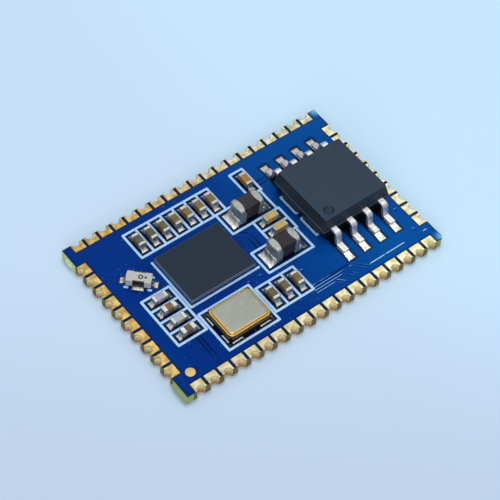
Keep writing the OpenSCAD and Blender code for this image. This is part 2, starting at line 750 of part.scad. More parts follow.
module legend_outline()
    difference() {
        union() {
            row_box([back_x, back_y], back_count, [back_pitch, 0], back_pitch, [0, 1]);
            row_box([feed_x, back_y], 1, [0, 0], feed_box_w, [0, 1]);
            row_box([bypass_x, bypass_y], 2, [0, -bypass_pitch], bypass_pitch, [1, 0]);
            row_box([front_x, front_y], front_count, [front_pitch, 0], front_pitch, [0, 1]);
            row_box([matching_x, matching_y], 4, [0, -matching_pitch], matching_pitch, [1, 0]);
            for (part = INDUCTORS) box(part[1] - inductor_box / 2, part[1] + inductor_box / 2);
            radio_legend();
            flash_legend();
            crystal_legend();
            filter_legend();
        }
        lands(mask_gap + legend_gap);
    }

module silkscreen() color(legend_white)
    translate([0, 0, board_t]) linear_extrude(legend_t) legend_outline();

// Flash memory

module at_leads()
    translate([flash_x, flash_y])
        for (turn = [-90, 90]) rotate(turn)
            for (i = [0 : lead_count - 1])
                translate([0, (i - (lead_count - 1) / 2) * lead_pitch]) children();

// Points on an arc, from one angle to another
function arc(centre, r, from, to) =
    [for (i = [0 : bend_steps]) centre + r * [cos(from + (to - from) * i / bend_steps),
        sin(from + (to - from) * i / bend_steps)]];

// The gull wing lead's side view: out of the body, down the leg and along the foot
module lead_profile() {
    start = flash_w / 2 - lead_anchor;
    outer_r = lead_bend_r + lead_t / 2;
    inner_r = lead_bend_r - lead_t / 2;
    knee = [bend_1, lead_z - lead_bend_r];
    heel = [bend_2, foot_z + lead_bend_r];
    polygon(concat(
        [[start, lead_z + lead_t / 2]],
        arc(knee, outer_r, 90, 90 - lead_slope),
        arc(heel, inner_r, 270 - lead_slope, 270),
        [[lead_toe, foot_z + lead_t / 2], [lead_toe, foot_z - lead_t / 2]],
        arc(heel, outer_r, 270, 270 - lead_slope),
        arc(knee, inner_r, 90 - lead_slope, 90),
        [[start, lead_z - lead_t / 2]]
    ));
}

module leads()
    at_leads() translate([0, lead_w / 2, board_t]) rotate([90, 0, 0]) linear_extrude(lead_w) lead_profile();

module flash_chip_leads() color(tin) leads();

module mould_profile(half)
    polygon([
        [-half + flash_draft, flash_standoff],
        [-half, lead_z],
        [-half + flash_draft, flash_top],
        [half - flash_draft, flash_top],
        [half, lead_z],
        [half - flash_draft, flash_standoff]
    ]);

module flash_chip_body() color(mould_black) {
    difference() {
        translate([flash_x, flash_y, board_t]) difference() {
            intersection() {
                translate([0, flash_w / 2, 0]) rotate([90, 0, 0])
                    linear_extrude(flash_w) mould_profile(flash_l / 2);
                translate([-flash_l / 2, 0, 0]) rotate([90, 0, 90])
                    linear_extrude(flash_l) mould_profile(flash_w / 2);
                linear_extrude(flash_top) rounded_rect(flash_l, flash_w, flash_corner_r);
            }
            translate([dimple_in - flash_l / 2, dimple_in - flash_w / 2, flash_top - dimple_depth])
                cylinder(d = dimple_d, h = cut);
        }
        leads();
    }
}

module flash_lead_solder() color(tin)
    at_leads() translate([lead_toe, 0, 0])
        solder_joint(lead_toe - bend_2, flash_fillet_run, flash_fillet_h, lead_w);

// Radio chip

module at_balls()
    translate([radio_x, radio_y])
        for (i = [0 : ball_columns - 1], j = [0 : ball_rows - 1])
            translate([i - (ball_columns - 1) / 2, j - (ball_rows - 1) / 2] * ball_pitch) children();

module radio_chip_die() color(silicon_grey)
    translate([radio_x, radio_y, board_t + ball_gap]) intersection() {
        translate([0, radio_w / 2, 0]) rotate([90, 0, 0]) linear_extrude(radio_w) die_profile(radio_l / 2);
        translate([-radio_l / 2, 0, 0]) rotate([90, 0, 90]) linear_extrude(radio_l) die_profile(radio_w / 2);
    }

module die_profile(half)
    polygon([
        [-half, 0],
        [-half, radio_t - radio_chamfer],
        [-half + radio_chamfer, radio_t],
        [half - radio_chamfer, radio_t],
        [half, radio_t - radio_chamfer],
        [half, 0]
    ]);

module radio_chip_balls() color(tin)
    at_balls() translate([0, 0, land_top + ball_h / 2]) intersection() {
        sphere(d = ball_d);
        cube([ball_pitch, ball_pitch, ball_h], center = true);
    }

// Crystal

module crystal_base() color(ceramic_dark)
    translate([crystal_x, crystal_y, seat]) linear_extrude(crystal_base_h) difference() {
        square([crystal_l, crystal_w], center = true);
        for (sx = [-1, 1], sy = [-1, 1])
            translate([sx * crystal_l / 2, sy * crystal_w / 2]) circle(r = crystal_notch_r);
    }

module crystal_seal_ring() color(seal_gold)
    translate([crystal_x, crystal_y, seat + crystal_base_h]) linear_extrude(seal_h) difference() {
        rounded_rect(seal_size.x, seal_size.y, seal_corner_r);
        square(seal_size - 2 * [seal_w, seal_w], center = true);
    }

module lid_profile(half)
    polygon([
        [-half, 0],
        [-half, lid_t - lid_chamfer],
        [-half + lid_chamfer, lid_t],
        [half - lid_chamfer, lid_t],
        [half, lid_t - lid_chamfer],
        [half, 0]
    ]);

module crystal_lid() color(lid_grey)
    translate([crystal_x, crystal_y, seat + crystal_base_h + seal_h]) intersection() {
        linear_extrude(lid_t) rounded_rect(lid_size.x, lid_size.y, seal_corner_r - lid_inset);
        translate([0, lid_size.y / 2, 0]) rotate([90, 0, 0])
            linear_extrude(lid_size.y) lid_profile(lid_size.x / 2);
        translate([-lid_size.x / 2, 0, 0]) rotate([90, 0, 90])
            linear_extrude(lid_size.x) lid_profile(lid_size.y / 2);
    }

// Band filter

module at_filter() translate([filter_x, filter_y]) rotate(filter_turn) children();

module rf_filter_body() color(filter_white)
    translate([0, 0, seat]) at_filter()
        core_block(filter_l, filter_w, filter_h, filter_round, filter_plate);

module rf_filter_terminals() color(tin)
    translate([0, 0, seat]) at_filter() intersection() {
        skin_block(filter_l, filter_w, filter_h, filter_round, filter_plate);
        union() {
            for (s = [-1, 1]) {
                translate([s * filter_l / 2, 0, filter_h / 2])
                    cube([2 * filter_wrap, filter_end_w, filter_h + cut], center = true);
                translate([0, s * filter_w / 2, filter_h / 2])
                    cube([filter_side_l, 2 * filter_wrap, filter_h + cut], center = true);
            }
        }
    }

// Chip parts and power inductors

module at_chip(part) translate(part[1]) rotate(part[2]) children();

module chip_body(part) color(part[4] ? capacitor_brown : matching_grey)
    translate([0, 0, seat]) at_chip(part)
        core_block(chip_l, chip_w, part[3], chip_round, chip_plate);

module chip_terminals(part) color(tin)
    translate([0, 0, seat]) at_chip(part) difference() {
        skin_block(chip_l, chip_w, part[3], chip_round, chip_plate);
        translate([0, 0, part[3] / 2])
            cube([chip_l - 2 * chip_band, chip_w + cut, part[3] + cut], center = true);
    }

module inductor_core(part) color(ferrite)
    translate([part[1].x, part[1].y, seat])
        core_block(inductor_l, inductor_w, inductor_h, inductor_round, inductor_plate);

// Dipped end terminals: their inner edge bows out at the middle of each face, as a ball cuts it
module inductor_terminals(part) color(tin) {
    across = inductor_w / 2;
    corner = norm([inductor_w, inductor_h]) / 2;
    deep = (corner * corner - across * across - inductor_band_bow * inductor_band_bow)
        / (2 * inductor_band_bow);
    radius = norm([deep, corner]);
    translate([part[1].x, part[1].y, seat]) difference() {
        intersection() {
            rounded_block(inductor_l, inductor_w, inductor_h, inductor_round);
            for (s = [-1, 1])
                translate([s * (inductor_l / 2 - inductor_band + inductor_band_bow + deep), 0])
                    translate([0, 0, inductor_h / 2]) sphere(r = radius);
        }
        core_block(inductor_l, inductor_w, inductor_h, inductor_round, inductor_plate);
    }
}

module chip_solder() color(tin) {
    for (part = CHIPS, turn = [0, 180])
        at_chip(part) rotate(turn) translate([chip_l / 2, 0, 0])
            solder_joint(chip_band, chip_toe - land_rim, chip_fillet_share * part[3], chip_w);
    for (part = INDUCTORS, turn = [0, 180])
        translate(part[1]) rotate(turn) translate([inductor_l / 2, 0, 0])
            solder_joint(inductor_band, inductor_toe - land_rim, inductor_fillet_h, inductor_w);
    at_filter() {
        for (turn = [0, 180]) rotate(turn) translate([filter_l / 2, 0, 0])
            solder_joint(filter_wrap, filter_end_toe - land_rim, filter_fillet_h, filter_end_w);
        for (turn = [90, 270]) rotate(turn) translate([filter_w / 2, 0, 0])
            solder_joint(filter_wrap, filter_side_toe - land_rim, filter_fillet_h, filter_side_l);
    }
    translate([crystal_x, crystal_y, land_top]) linear_extrude(solder_film) crystal_lands(-land_rim);
}

// Assembly

pcb_laminate();
solder_mask_top();
solder_mask_bottom();
silkscreen();
fiducial_mark();
component_lands();
for (side = SIDES)
    castellations(side);
flash_chip_body();
flash_chip_leads();
flash_lead_solder();
radio_chip_die();
radio_chip_balls();
crystal_base();
crystal_seal_ring();
crystal_lid();
rf_filter_body();
rf_filter_terminals();
chip_solder();
for (part = INDUCTORS) {
    inductor_core(part);
    inductor_terminals(part);
}
for (part = CHIPS) {
    chip_body(part);
    chip_terminals(part);
}
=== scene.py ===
# %% [markdown]
# # A castellated wireless audio module
# The object is a circuit board smaller than a thumbnail, which is soldered onto a larger board by the gold
# half holes round its edge. The solids already have their sizes and places, so this lesson is about finish:
# soft edges that catch the light, wet looking solder, and lacquer, metal and ceramic that differ.

# %% Load the solids
import json
import math

import bmesh
import bpy
from mathutils import Matrix, Vector, noise

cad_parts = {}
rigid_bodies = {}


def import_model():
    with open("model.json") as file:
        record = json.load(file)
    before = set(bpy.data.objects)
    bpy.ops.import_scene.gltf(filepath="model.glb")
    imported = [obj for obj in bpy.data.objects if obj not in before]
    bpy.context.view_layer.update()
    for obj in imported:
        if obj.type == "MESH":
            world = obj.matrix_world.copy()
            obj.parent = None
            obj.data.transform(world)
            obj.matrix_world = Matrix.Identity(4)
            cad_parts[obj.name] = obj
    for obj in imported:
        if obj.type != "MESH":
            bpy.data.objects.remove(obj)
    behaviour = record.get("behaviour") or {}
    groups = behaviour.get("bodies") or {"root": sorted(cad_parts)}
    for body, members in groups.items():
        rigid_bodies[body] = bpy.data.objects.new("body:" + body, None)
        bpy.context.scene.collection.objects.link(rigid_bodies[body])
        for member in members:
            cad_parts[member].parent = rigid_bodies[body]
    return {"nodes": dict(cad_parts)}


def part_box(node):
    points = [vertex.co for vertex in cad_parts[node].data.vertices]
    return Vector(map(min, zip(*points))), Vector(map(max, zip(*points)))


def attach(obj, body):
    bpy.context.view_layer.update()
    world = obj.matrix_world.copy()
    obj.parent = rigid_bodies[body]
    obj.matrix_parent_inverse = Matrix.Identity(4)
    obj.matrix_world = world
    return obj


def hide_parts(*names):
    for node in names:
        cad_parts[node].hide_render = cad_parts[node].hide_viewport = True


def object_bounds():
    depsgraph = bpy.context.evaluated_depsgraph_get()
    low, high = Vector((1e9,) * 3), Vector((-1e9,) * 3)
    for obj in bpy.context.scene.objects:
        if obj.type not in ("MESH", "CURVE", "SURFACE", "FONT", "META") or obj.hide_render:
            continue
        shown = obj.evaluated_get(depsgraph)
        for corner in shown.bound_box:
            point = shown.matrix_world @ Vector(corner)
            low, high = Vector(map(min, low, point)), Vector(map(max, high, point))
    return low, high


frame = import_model()
cad_low, cad_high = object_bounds()
MM = 0.001
print("Solids:", len(frame["nodes"]), "nodes,", tuple(round(s / MM, 2) for s in cad_high - cad_low), "mm")

# %% [markdown]
# ## Camera
# The photographer stood at the module's front left corner and looked down on it with a long lens, the
# picture a little askew. Blender can aim a camera with a constraint, but a matrix built from three
# directions takes the roll as well and leaves nothing live in the scene.

# %% Camera
AIM = Vector((-0.548, -0.211, 0.8)) * MM
CAMERA_DISTANCE = 103.776 * MM
AZIMUTH = math.radians(-41.98)
ELEVATION = math.radians(53.4)
ROLL = math.radians(5.214)
SENSOR_WIDTH = 36.0
LENS = 120.65
NEAREST = 5 * MM
FARTHEST = 2.0

toward_camera = Vector((
    math.sin(AZIMUTH) * math.cos(ELEVATION),
    -math.cos(AZIMUTH) * math.cos(ELEVATION),
    math.sin(ELEVATION),
))
level_x = Vector((math.cos(AZIMUTH), math.sin(AZIMUTH), 0))
level_y = toward_camera.cross(level_x)
picture_x = math.cos(ROLL) * level_x + math.sin(ROLL) * level_y
picture_y = math.cos(ROLL) * level_y - math.sin(ROLL) * level_x

lens = bpy.data.cameras.new("camera")
lens.sensor_width = SENSOR_WIDTH
lens.lens = LENS
lens.clip_start = NEAREST
lens.clip_end = FARTHEST
camera = bpy.data.objects.new("camera", lens)
camera.matrix_world = Matrix((picture_x, picture_y, toward_camera)).transposed().to_4x4()
camera.location = AIM + toward_camera * CAMERA_DISTANCE
bpy.context.scene.collection.objects.link(camera)
bpy.context.scene.camera = camera
bpy.context.scene.view_settings.view_transform = "Standard"
print("Camera:", tuple(round(c / MM, 1) for c in camera.location), "mm")

# %% [markdown]
# ## Shader sums
# A finish is worked out with small sums, such as one minus a mask. Wiring each Math node by hand hides the
# idea, so a socket is wrapped in a class whose operators add the nodes, and one method adds any other node.
# Colours are written as a screen shows them, in three numbers from 0 to 255.

# %% Shader sums
def tint(red, green, blue):
    """A screen's colour as the linear light that a shader takes, by the standard sRGB curve."""
    shares = [c / 255 for c in (red, green, blue)]
    linear = [c / 12.92 if c <= 0.04045 else ((c + 0.055) / 1.055) ** 2.4 for c in shares]
    return (*linear, 1.0)


class Wire:
    """A shader socket that can stand in a Python sum."""

    def __init__(self, nodes, socket):
        self.nodes = nodes
        self.socket = socket

    def sum(self, operation, first, second):
        return self.nodes.node("ShaderNodeMath", {"operation": operation}, {0: first, 1: second})

    def __add__(self, other):
        return self.sum("ADD", self, other)

    def __sub__(self, other):
        return self.sum("SUBTRACT", self, other)

    def __rsub__(self, other):
        return self.sum("SUBTRACT", other, self)

    def __mul__(self, other):
        return self.sum("MULTIPLY", self, other)

    def __abs__(self):
        return self.sum("ABSOLUTE", self, 0.0)

    __radd__ = __add__
    __rmul__ = __mul__


class Nodes:
    """A node tree, and one method that adds any node to it."""

    def __init__(self, tree):
        self.tree = tree

    def plug(self, socket, value):
        if isinstance(value, Wire):
            self.tree.links.new(value.socket, socket)
        else:
            socket.default_value = value

    def node(self, kind, settings={}, sockets={}, out=0):
        node = self.tree.nodes.new(kind)
        for name, value in settings.items():
            setattr(node, name, value)
        for name, value in sockets.items():
            self.plug(node.inputs[name], value)
        return Wire(self, node.outputs[out])

    def part(self, vector, axis):
        return self.node("ShaderNodeSeparateXYZ", {}, {0: vector}, out=axis)

    def step(self, value, start, end):
        """Nought below start and one above end, with an eased way between."""
        settings = {"interpolation_type": "SMOOTHSTEP"}
        return self.node("ShaderNodeMapRange", settings, {0: value, 1: start, 2: end})

    def blend(self, mask, first, second):
        """Mixes two colours, each a wire, a screen's three numbers or linear light in four."""
        first, second = [tint(*c) if isinstance(c, tuple) and len(c) == 3 else c for c in (first, second)]
        settings = {"data_type": "RGBA"}
        return self.node("ShaderNodeMix", settings, {0: mask, 6: first, 7: second}, out=2)


print("Colour check:", tuple(round(c, 3) for c in tint(128, 128, 128)))

# %% [markdown]
# ## Patterns of a finish
# Every finish here is made of the same few patterns: clouds of noise, and masks by place or by the way that a
# surface faces. They read Object coordinates, which are metres in the module's own frame, so one pattern can
# run over several pieces and a place on the board can be named.

# %% Patterns of a finish
class Finish(Nodes):
    """A material being made: its shader, and the patterns that feed it."""

    def __init__(self, name, **constants):
        self.material = bpy.data.materials.new(name)
        self.material.use_nodes = True
        super().__init__(self.material.node_tree)
        self.shader = self.tree.nodes["Principled BSDF"]
        for socket, value in constants.items():
            self.set(socket.replace("_", " "), value)
        self.place = self.node("ShaderNodeTexCoord", out="Object")

    def set(self, socket, value):
        self.plug(self.shader.inputs[socket], value)

    def noise(self, size, detail=2.0, stretch=(1, 1, 1)):
        """Cloudy noise whose lumps are about size millimetres across, longer where stretch is larger."""
        scale = tuple(1 / (size * MM * s) for s in stretch)
        spread = self.node("ShaderNodeVectorMath", {"operation": "MULTIPLY"}, {0: self.place, 1: scale})
        return self.node("ShaderNodeTexNoise", {}, {"Vector": spread, "Scale": 1.0, "Detail": detail})

    def axis(self, name):
        return self.part(self.place, name)

    def past(self, name, start, end):
        """Nought before start and one after end along an axis."""
        return self.step(self.axis(name), start, end)

    def aside(self, name, place, start, end):
        """Nought near a place on an axis, and one further than end from it on both sides."""
        return self.step(abs(self.axis(name) - place), start, end)

    def facing(self, name, start, end, normal="Normal"):
        """One where the surface faces along an axis, by its shaded or its true normal."""
        return self.step(self.part(self.node("ShaderNodeNewGeometry", out=normal), name), start, end)

    def spot(self, centre, radius):
        """One inside an upright round pillar and nothing outside it."""
        out_x, out_y = [self.axis(name) - value for name, value in zip("XY", centre)]
        square = out_x * out_x + out_y * out_y
        return self.node("ShaderNodeMath", {"operation": "LESS_THAN"}, {0: square, 1: radius * radius})

    def relief(self, height, depth):
        """Bump of a height wire that would be depth millimetres tall."""
        self.set("Normal", self.node("ShaderNodeBump", {}, {"Height": height, "Distance": depth * MM}))


print("Patterns:", [name for name in vars(Finish) if not name.startswith("_")])

# %% [markdown]
# ## Light
# A broad, even light comes from overhead, so shadows are faint and only the cracks are dark. A world that is
# bright above and dim at the horizon gives that, and it gives metal something to mirror. One soft lamp
# overhead adds the highlights, and a weaker one low at the front left reaches the walls of the half holes.

# %% Light
ZENITH = (0.8, 0.83, 0.86, 1.0)
HORIZON = (0.16, 0.19, 0.24, 1.0)
HORIZON_HEIGHT = 0.1
ZENITH_HEIGHT = 0.85


def soft_box(name, place, size, watts):
    lamp = bpy.data.lights.new(name, "AREA")
    lamp.shape = "DISK"
    lamp.size = size
    lamp.energy = watts
    holder = bpy.data.objects.new(name, lamp)
    holder.location = place
    holder.rotation_euler = place.to_track_quat("Z", "Y").to_euler()
    bpy.context.scene.collection.objects.link(holder)
    print(name, "lamp:", watts, "W")


soft_box("overhead", place=Vector((40, 50, 300)) * MM, size=110 * MM, watts=0.26)
soft_box("front_fill", place=Vector((-160, -180, 90)) * MM, size=150 * MM, watts=0.2)

world = bpy.data.worlds.new("studio")
world.use_nodes = True
bpy.context.scene.world = world
sky = Nodes(world.node_tree)
height = sky.part(sky.node("ShaderNodeTexCoord", out="Generated"), "Z")
fade = sky.step(height, HORIZON_HEIGHT, ZENITH_HEIGHT)
sky.plug(sky.tree.nodes["Background"].inputs["Color"], sky.blend(fade, HORIZON, ZENITH))

# %% [markdown]
# ## Floor
# The module lies on pale blue paper, which is painted darker towards the front and brighter towards the right
# as a painted fall of light. One large face is enough for it, and its material carries the change, which
# stays where it is on the paper from every view.

# %% Floor
FLOOR_SIZE = 600 * MM
FADE_START = -12 * MM
FADE_END = 2 * MM
BRIGHT_END = 12 * MM

paper = Finish("pale_paper", Roughness=0.8)
away = paper.axis("X") * -toward_camera.x + paper.axis("Y") * -toward_camera.y
# Painted fall of light: the paper is darker towards the front and brighter towards the right.
far_with_painted_light = paper.blend(paper.past("X", 0, BRIGHT_END), (198, 221, 242), (200, 229, 250))
paper.set("Base Color", paper.blend(paper.step(away, FADE_START, FADE_END), (188, 206, 227), far_with_painted_light))
paper.relief(paper.noise(0.25, 4), 0.004)
sheet = bmesh.new()
lowered = Matrix.Translation((0, 0, cad_low.z))
bmesh.ops.create_grid(sheet, x_segments=1, y_segments=1, size=FLOOR_SIZE / 2, matrix=lowered)
floor_mesh = bpy.data.meshes.new("floor")
sheet.to_mesh(floor_mesh)
sheet.free()
floor_mesh.materials.append(paper.material)
floor = bpy.data.objects.new("floor", floor_mesh)
bpy.context.scene.collection.objects.link(floor)
print("Floor at", round(cad_low.z / MM, 3), "mm")

# %% [markdown]
# ## Lacquer finish
# Blue lacquer covers the board, and it looks darker where no copper lies under it, which is also where it
# dips. So one finish serves both: it reads its own height and fades from bright to dark. It is painted
# brighter towards the right, a painted reflection, and darker under the flash memory, a painted shade of
# the body. Pale specks at the left are painted glints. A thin painted highlight, broken here and there, runs
# along the front right, where the copper ends. At the right corners a pale painted highlight lies on the
# lacquer, and where it slopes down to the front, painted highlights lie on it here and there.

# %% Lacquer finish
LACQUER_DIP = 0.02 * MM
GLOSS_TINT = (0.02, 0.3, 1.0, 1.0)
SHADE_HALF = 1.75 * MM
PAINTED_FADE = 0.2 * MM
SHEEN_FROM_X = -4 * MM
SHEEN_TO_X = 9 * MM
SPECKS_END = 3 * MM
COPPER_END = -5.35 * MM
GLINT_LINE_START = 4 * MM
GLINT_LINE_CORE = 0.015 * MM
GLINT_LINE_RIM = 0.04 * MM
CORNER_X = 9.4 * MM
CORNER_Y = 5.75 * MM
GLINTS_LEFT = -10 * MM
GLINTS_RIGHT = 1 * MM
GLINTS_FROM = -5.5 * MM
GLINTS_TO = 0.2 * MM
FADE = 0.1 * MM


def middle(low, high):
    return (low + high) / 2


board_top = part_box("solder_mask_top")[1].z
flash_low, flash_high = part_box("flash_chip_body")
flash_middle = middle(flash_low, flash_high)


def blue_lacquer():
    finish = Finish("blue_lacquer", Roughness=0.2, Specular_IOR_Level=0.3, Specular_Tint=GLOSS_TINT)
    cloud = finish.noise(5)
    left = finish.blend(cloud, (0, 33, 110), (0, 49, 130))
    right = finish.blend(cloud, (0, 61, 139), (0, 85, 157))
    # Over copper the lacquer is painted brighter towards the right: a painted reflection.
    copper_with_sheen = finish.blend(finish.past("X", SHEEN_FROM_X, SHEEN_TO_X), left, right)
    high = finish.past("Z", board_top - LACQUER_DIP, board_top)
    colour = finish.blend(high, (4, 16, 50), copper_with_sheen)

    # Darker under the flash memory: a painted shade of its body.
    painted_shade = 1 - finish.aside("Y", flash_middle.y, SHADE_HALF, SHADE_HALF + PAINTED_FADE)
    painted_shade = painted_shade * finish.past("X", flash_low.x, flash_low.x + PAINTED_FADE)
    colour = finish.blend(painted_shade, colour, (2, 14, 36))

    # Pale specks at the left: painted glints.
    speck_glints = finish.step(finish.noise(0.13, 1), 0.75, 0.79) * (1 - finish.past("X", 0, SPECKS_END))
    colour = finish.blend(speck_glints * 0.6, colour, (150, 196, 230))

    # A thin broken line where the copper ends: a painted highlight.
    glint_breaks = finish.step(finish.noise(1.2, 1), 0.47, 0.5)
    line = (1 - finish.aside("Y", COPPER_END, GLINT_LINE_CORE, GLINT_LINE_RIM)) * glint_breaks
    line = line * finish.past("X", GLINT_LINE_START, GLINT_LINE_START + PAINTED_FADE)
    colour = finish.blend(line, colour, (184, 222, 246))

    # At the right corners: a pale painted highlight.
    corner_glint = finish.past("X", CORNER_X, cad_high.x) * finish.aside("Y", 0, CORNER_Y, cad_high.y)
    colour = finish.blend(corner_glint, colour, (128, 214, 238))

    # Slopes that face the front are pale in patches: painted highlights.
    to_front = 1 - finish.facing("Y", -0.25, -0.15)
    patches = finish.step(finish.noise(0.9), 0.34, 0.54) * finish.past("X", GLINTS_LEFT, GLINTS_RIGHT)
    inboard = finish.past("Y", GLINTS_FROM, GLINTS_FROM + FADE)
    forward = 1 - finish.past("Y", GLINTS_TO, GLINTS_TO + FADE)
    finish.set("Base Color", finish.blend(to_front * patches * inboard * forward, colour, (140, 192, 232)))
    finish.relief(finish.noise(0.35, 3), 0.004)
    return finish.material


LACQUER = blue_lacquer()
print("Finish:", LACQUER.name)

# %% [markdown]
# ## Laminate finish
# The milled edge shows brown glass fibre in thin layers, greener at the right end, and the two snapped
# corners at the left are paler. Noise that is squeezed in height gives the layers, as colour and as bump.

# %% Laminate finish
STUB_X = -9.5 * MM
STUB_Y = 5.0 * MM


def glass_laminate():
    finish = Finish("glass_laminate", Roughness=0.62)
    layers = finish.noise(0.5, 3, (1, 1, 0.1))
    front = finish.blend(layers, (84, 112, 44), (196, 208, 124))
    back = finish.blend(layers, (156, 170, 78), (222, 228, 154))
    back = finish.blend(finish.step(finish.noise(0.7), 0.5, 0.66), back, (240, 244, 224))
    snapped = finish.blend(finish.past("Y", -1 * MM, 1 * MM), front, back)
    near_top = finish.past("Z", board_top - 0.2 * MM, board_top)
    snapped = finish.blend(near_top * 0.6, snapped, (40, 120, 130))

    milled = finish.blend(layers, (70, 58, 22), (122, 108, 48))
    stub = finish.aside("Y", 0, STUB_Y, STUB_Y + FADE) * (1 - finish.past("X", STUB_X - FADE, STUB_X))
    edge = finish.blend(stub, milled, snapped)
    right_end = finish.blend(layers, (92, 100, 34), (182, 184, 92))
    edge = finish.blend(finish.past("X", CORNER_X, CORNER_X + FADE), edge, right_end)
    up = finish.facing("Z", 0.97, 0.99, "True Normal")
    finish.set("Base Color", finish.blend(up, edge, (8, 22, 58)))
    finish.relief(layers, 0.03)
    return finish.material


LAMINATE = glass_laminate()
print("Finish:", LAMINATE.name)

# %% [markdown]
# ## Legend and gold finishes
# The legend is bluish white ink. Gold looks pinker on the walls of the holes than on the faces of the pads,
# and the pads are deeper in tone at the left and the back. One function makes the gold of all the rows from
# its tones at either end.

# %% Legend and gold finishes
GOLD_LEFT = -7 * MM
GOLD_RIGHT = 9 * MM
DEEP_ENDS = ((164, 134, 70), (214, 184, 118)), ((178, 170, 122), (230, 228, 205))
PALE_ENDS = ((171, 158, 111), (205, 198, 165)), ((213, 196, 138), (252, 244, 203))
MARK_TONES = (182, 158, 112), (196, 174, 130)
pads_low, pads_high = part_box("castellations_front")


def printed_legend():
    finish = Finish("printed_legend", Roughness=0.55)
    finish.set("Base Color", finish.blend(finish.noise(0.25, 3), (150, 194, 238), (190, 222, 252)))
    finish.relief(finish.noise(0.06), 0.006)
    return finish.material


def plated_gold(name, left, right):
    """Gold in patches of two tones, which go from one pair at the left to another at the right."""
    finish = Finish(name)
    patches = finish.step(finish.noise(0.4, 3), 0.32, 0.68)
    ends = [finish.blend(patches, *tones) for tones in (left, right)]
    face = finish.blend(finish.past("X", GOLD_LEFT, GOLD_RIGHT), *ends)
    wall = finish.blend(finish.past("Z", pads_low.z, pads_high.z), (186, 140, 80), (255, 232, 174))
    in_hole = 1 - finish.past("Z", pads_high.z - 0.08 * MM, pads_high.z - 0.02 * MM)
    finish.set("Base Color", finish.blend(in_hole, face, wall))
    finish.set("Metallic", 1 - 0.45 * in_hole)
    finish.set("Roughness", 0.4 + 0.2 * finish.noise(0.2, 3))
    finish.relief(finish.noise(0.07, 3), 0.004)
    return finish.material


LEGEND = printed_legend()
DEEP_GOLD = plated_gold("deep_gold", *DEEP_ENDS)
PALE_GOLD = plated_gold("pale_gold", *PALE_ENDS)
MARK_GOLD = plated_gold("mark_gold", MARK_TONES, MARK_TONES)
print("Finishes:", LEGEND.name, DEEP_GOLD.name, PALE_GOLD.name, MARK_GOLD.name)

# %% [markdown]
# ## Metal finishes
# Tin plating is dull and solder is bright, because solder froze from a liquid. Most of the metals differ only
# in their tones, their grain and their bumps, so one function makes them. The leads' feet at the back are
# greyer than their shoulders.

# %% Metal finishes
TIN_TONES = (160, 160, 154), (214, 212, 204)
SILVER_TONES = (122, 128, 126), (192, 196, 190)
SOLDER_TONES = (190, 191, 187), (240, 239, 232)
LAND_TONES = (12, 18, 40), (60, 64, 78)
SEAL_TONES = (206, 162, 60), (250, 218, 130)
lead_low, lead_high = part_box("flash_chip_leads")


def metal(name, tones, patches, rough, grain, bumps=None, depth=0.0):
    """Metal in two tones. Rough is its least and its spread, the others the size and detail of a noise."""
    finish = Finish(name, Metallic=1.0)
    finish.set("Base Color", finish.blend(finish.noise(*patches), *tones))
    least, spread = rough
    finish.set("Roughness", least + spread * finish.noise(*grain))
    if bumps:
        finish.relief(finish.noise(*bumps), depth)
    return finish.material


def sheared_lead():
    finish = Finish("sheared_lead", Metallic=1.0)
    plain = finish.blend(finish.noise(0.4, 3), (190, 192, 188), (255, 255, 252))
    foot = 1 - finish.past("Z", lead_low.z + 0.3 * MM, lead_low.z + 0.5 * MM)
    back = finish.past("Y", 0, 0.5 * MM)
    finish.set("Base Color", finish.blend(foot * back, plain, (178, 173, 176)))
    finish.set("Roughness", 0.36 + 0.2 * finish.noise(0.15, 3))
    finish.relief(finish.noise(0.2, 3), 0.02)
    return finish.material


LEAD = sheared_lead()
TIN = metal("dull_tin", TIN_TONES, (0.3, 3), rough=(0.28, 0.2), grain=(0.12, 3), bumps=(0.07, 3), depth=0.006)
SILVER = metal(
    "dipped_silver", SILVER_TONES, (0.25, 4), rough=(0.42, 0.2), grain=(0.12, 3), bumps=(0.14, 4), depth=0.02
)
SOLDER = metal(
    "bright_solder", SOLDER_TONES, (0.2, 2), rough=(0.2, 0.16), grain=(0.1, 2), bumps=(0.13, 3), depth=0.018
)
LAND = metal("bare_land", LAND_TONES, (0.2, 3), rough=(0.3, 0.2), grain=(0.1, 2))
SEAL = metal("seal_gold", SEAL_TONES, (0.3, 2), rough=(0.24, 0.12), grain=(0.1, 2))
print("Finishes:", [finish.name for finish in (LEAD, TIN, SILVER, SOLDER, LAND, SEAL)])

# %% [markdown]
# ## Chip finishes
# Moulding compound and the back of a bare chip are both near black and look grey only by the light they
# scatter from above, so their colour stays dark and their gloss stays broad. The compound is paler along the
# parting line of the mould, partly its flash and partly a painted highlight, and below that line its side is
# painted darker as painted shade.

# %% Chip finishes
SKY_GLOSS = (0.5, 0.74, 1.0, 1.0)
PARTING_LIP = 0.02 * MM


def mould_compound():
    finish = Finish("mould_compound", Roughness=0.46, Specular_IOR_Level=0.6, Specular_Tint=SKY_GLOSS)
    # Below the parting line the side is painted darker: painted shade.
    upper = finish.past("Z", flash_middle.z - PARTING_LIP, flash_middle.z)
    side = finish.blend(upper, (4, 5, 6), (22, 25, 33))
    # Along the parting line it is paler: partly the mould's flash, partly a painted highlight.
    from_line = finish.aside("Z", flash_middle.z, PARTING_LIP, 2 * PARTING_LIP)
    side = finish.blend(from_line, (104, 108, 112), side)
    top = finish.blend(finish.noise(0.08, 4), (14, 18, 26), (36, 47, 66))
    over_dimple = finish.past("Z", flash_high.z - 0.07 * MM, flash_high.z - 0.03 * MM)
    top = finish.blend(over_dimple, (4, 5, 8), top)
    finish.set("Base Color", finish.blend(finish.facing("Z", 0.7, 0.95), side, top))
    finish.relief(finish.noise(0.06, 3), 0.012)
    return finish.material


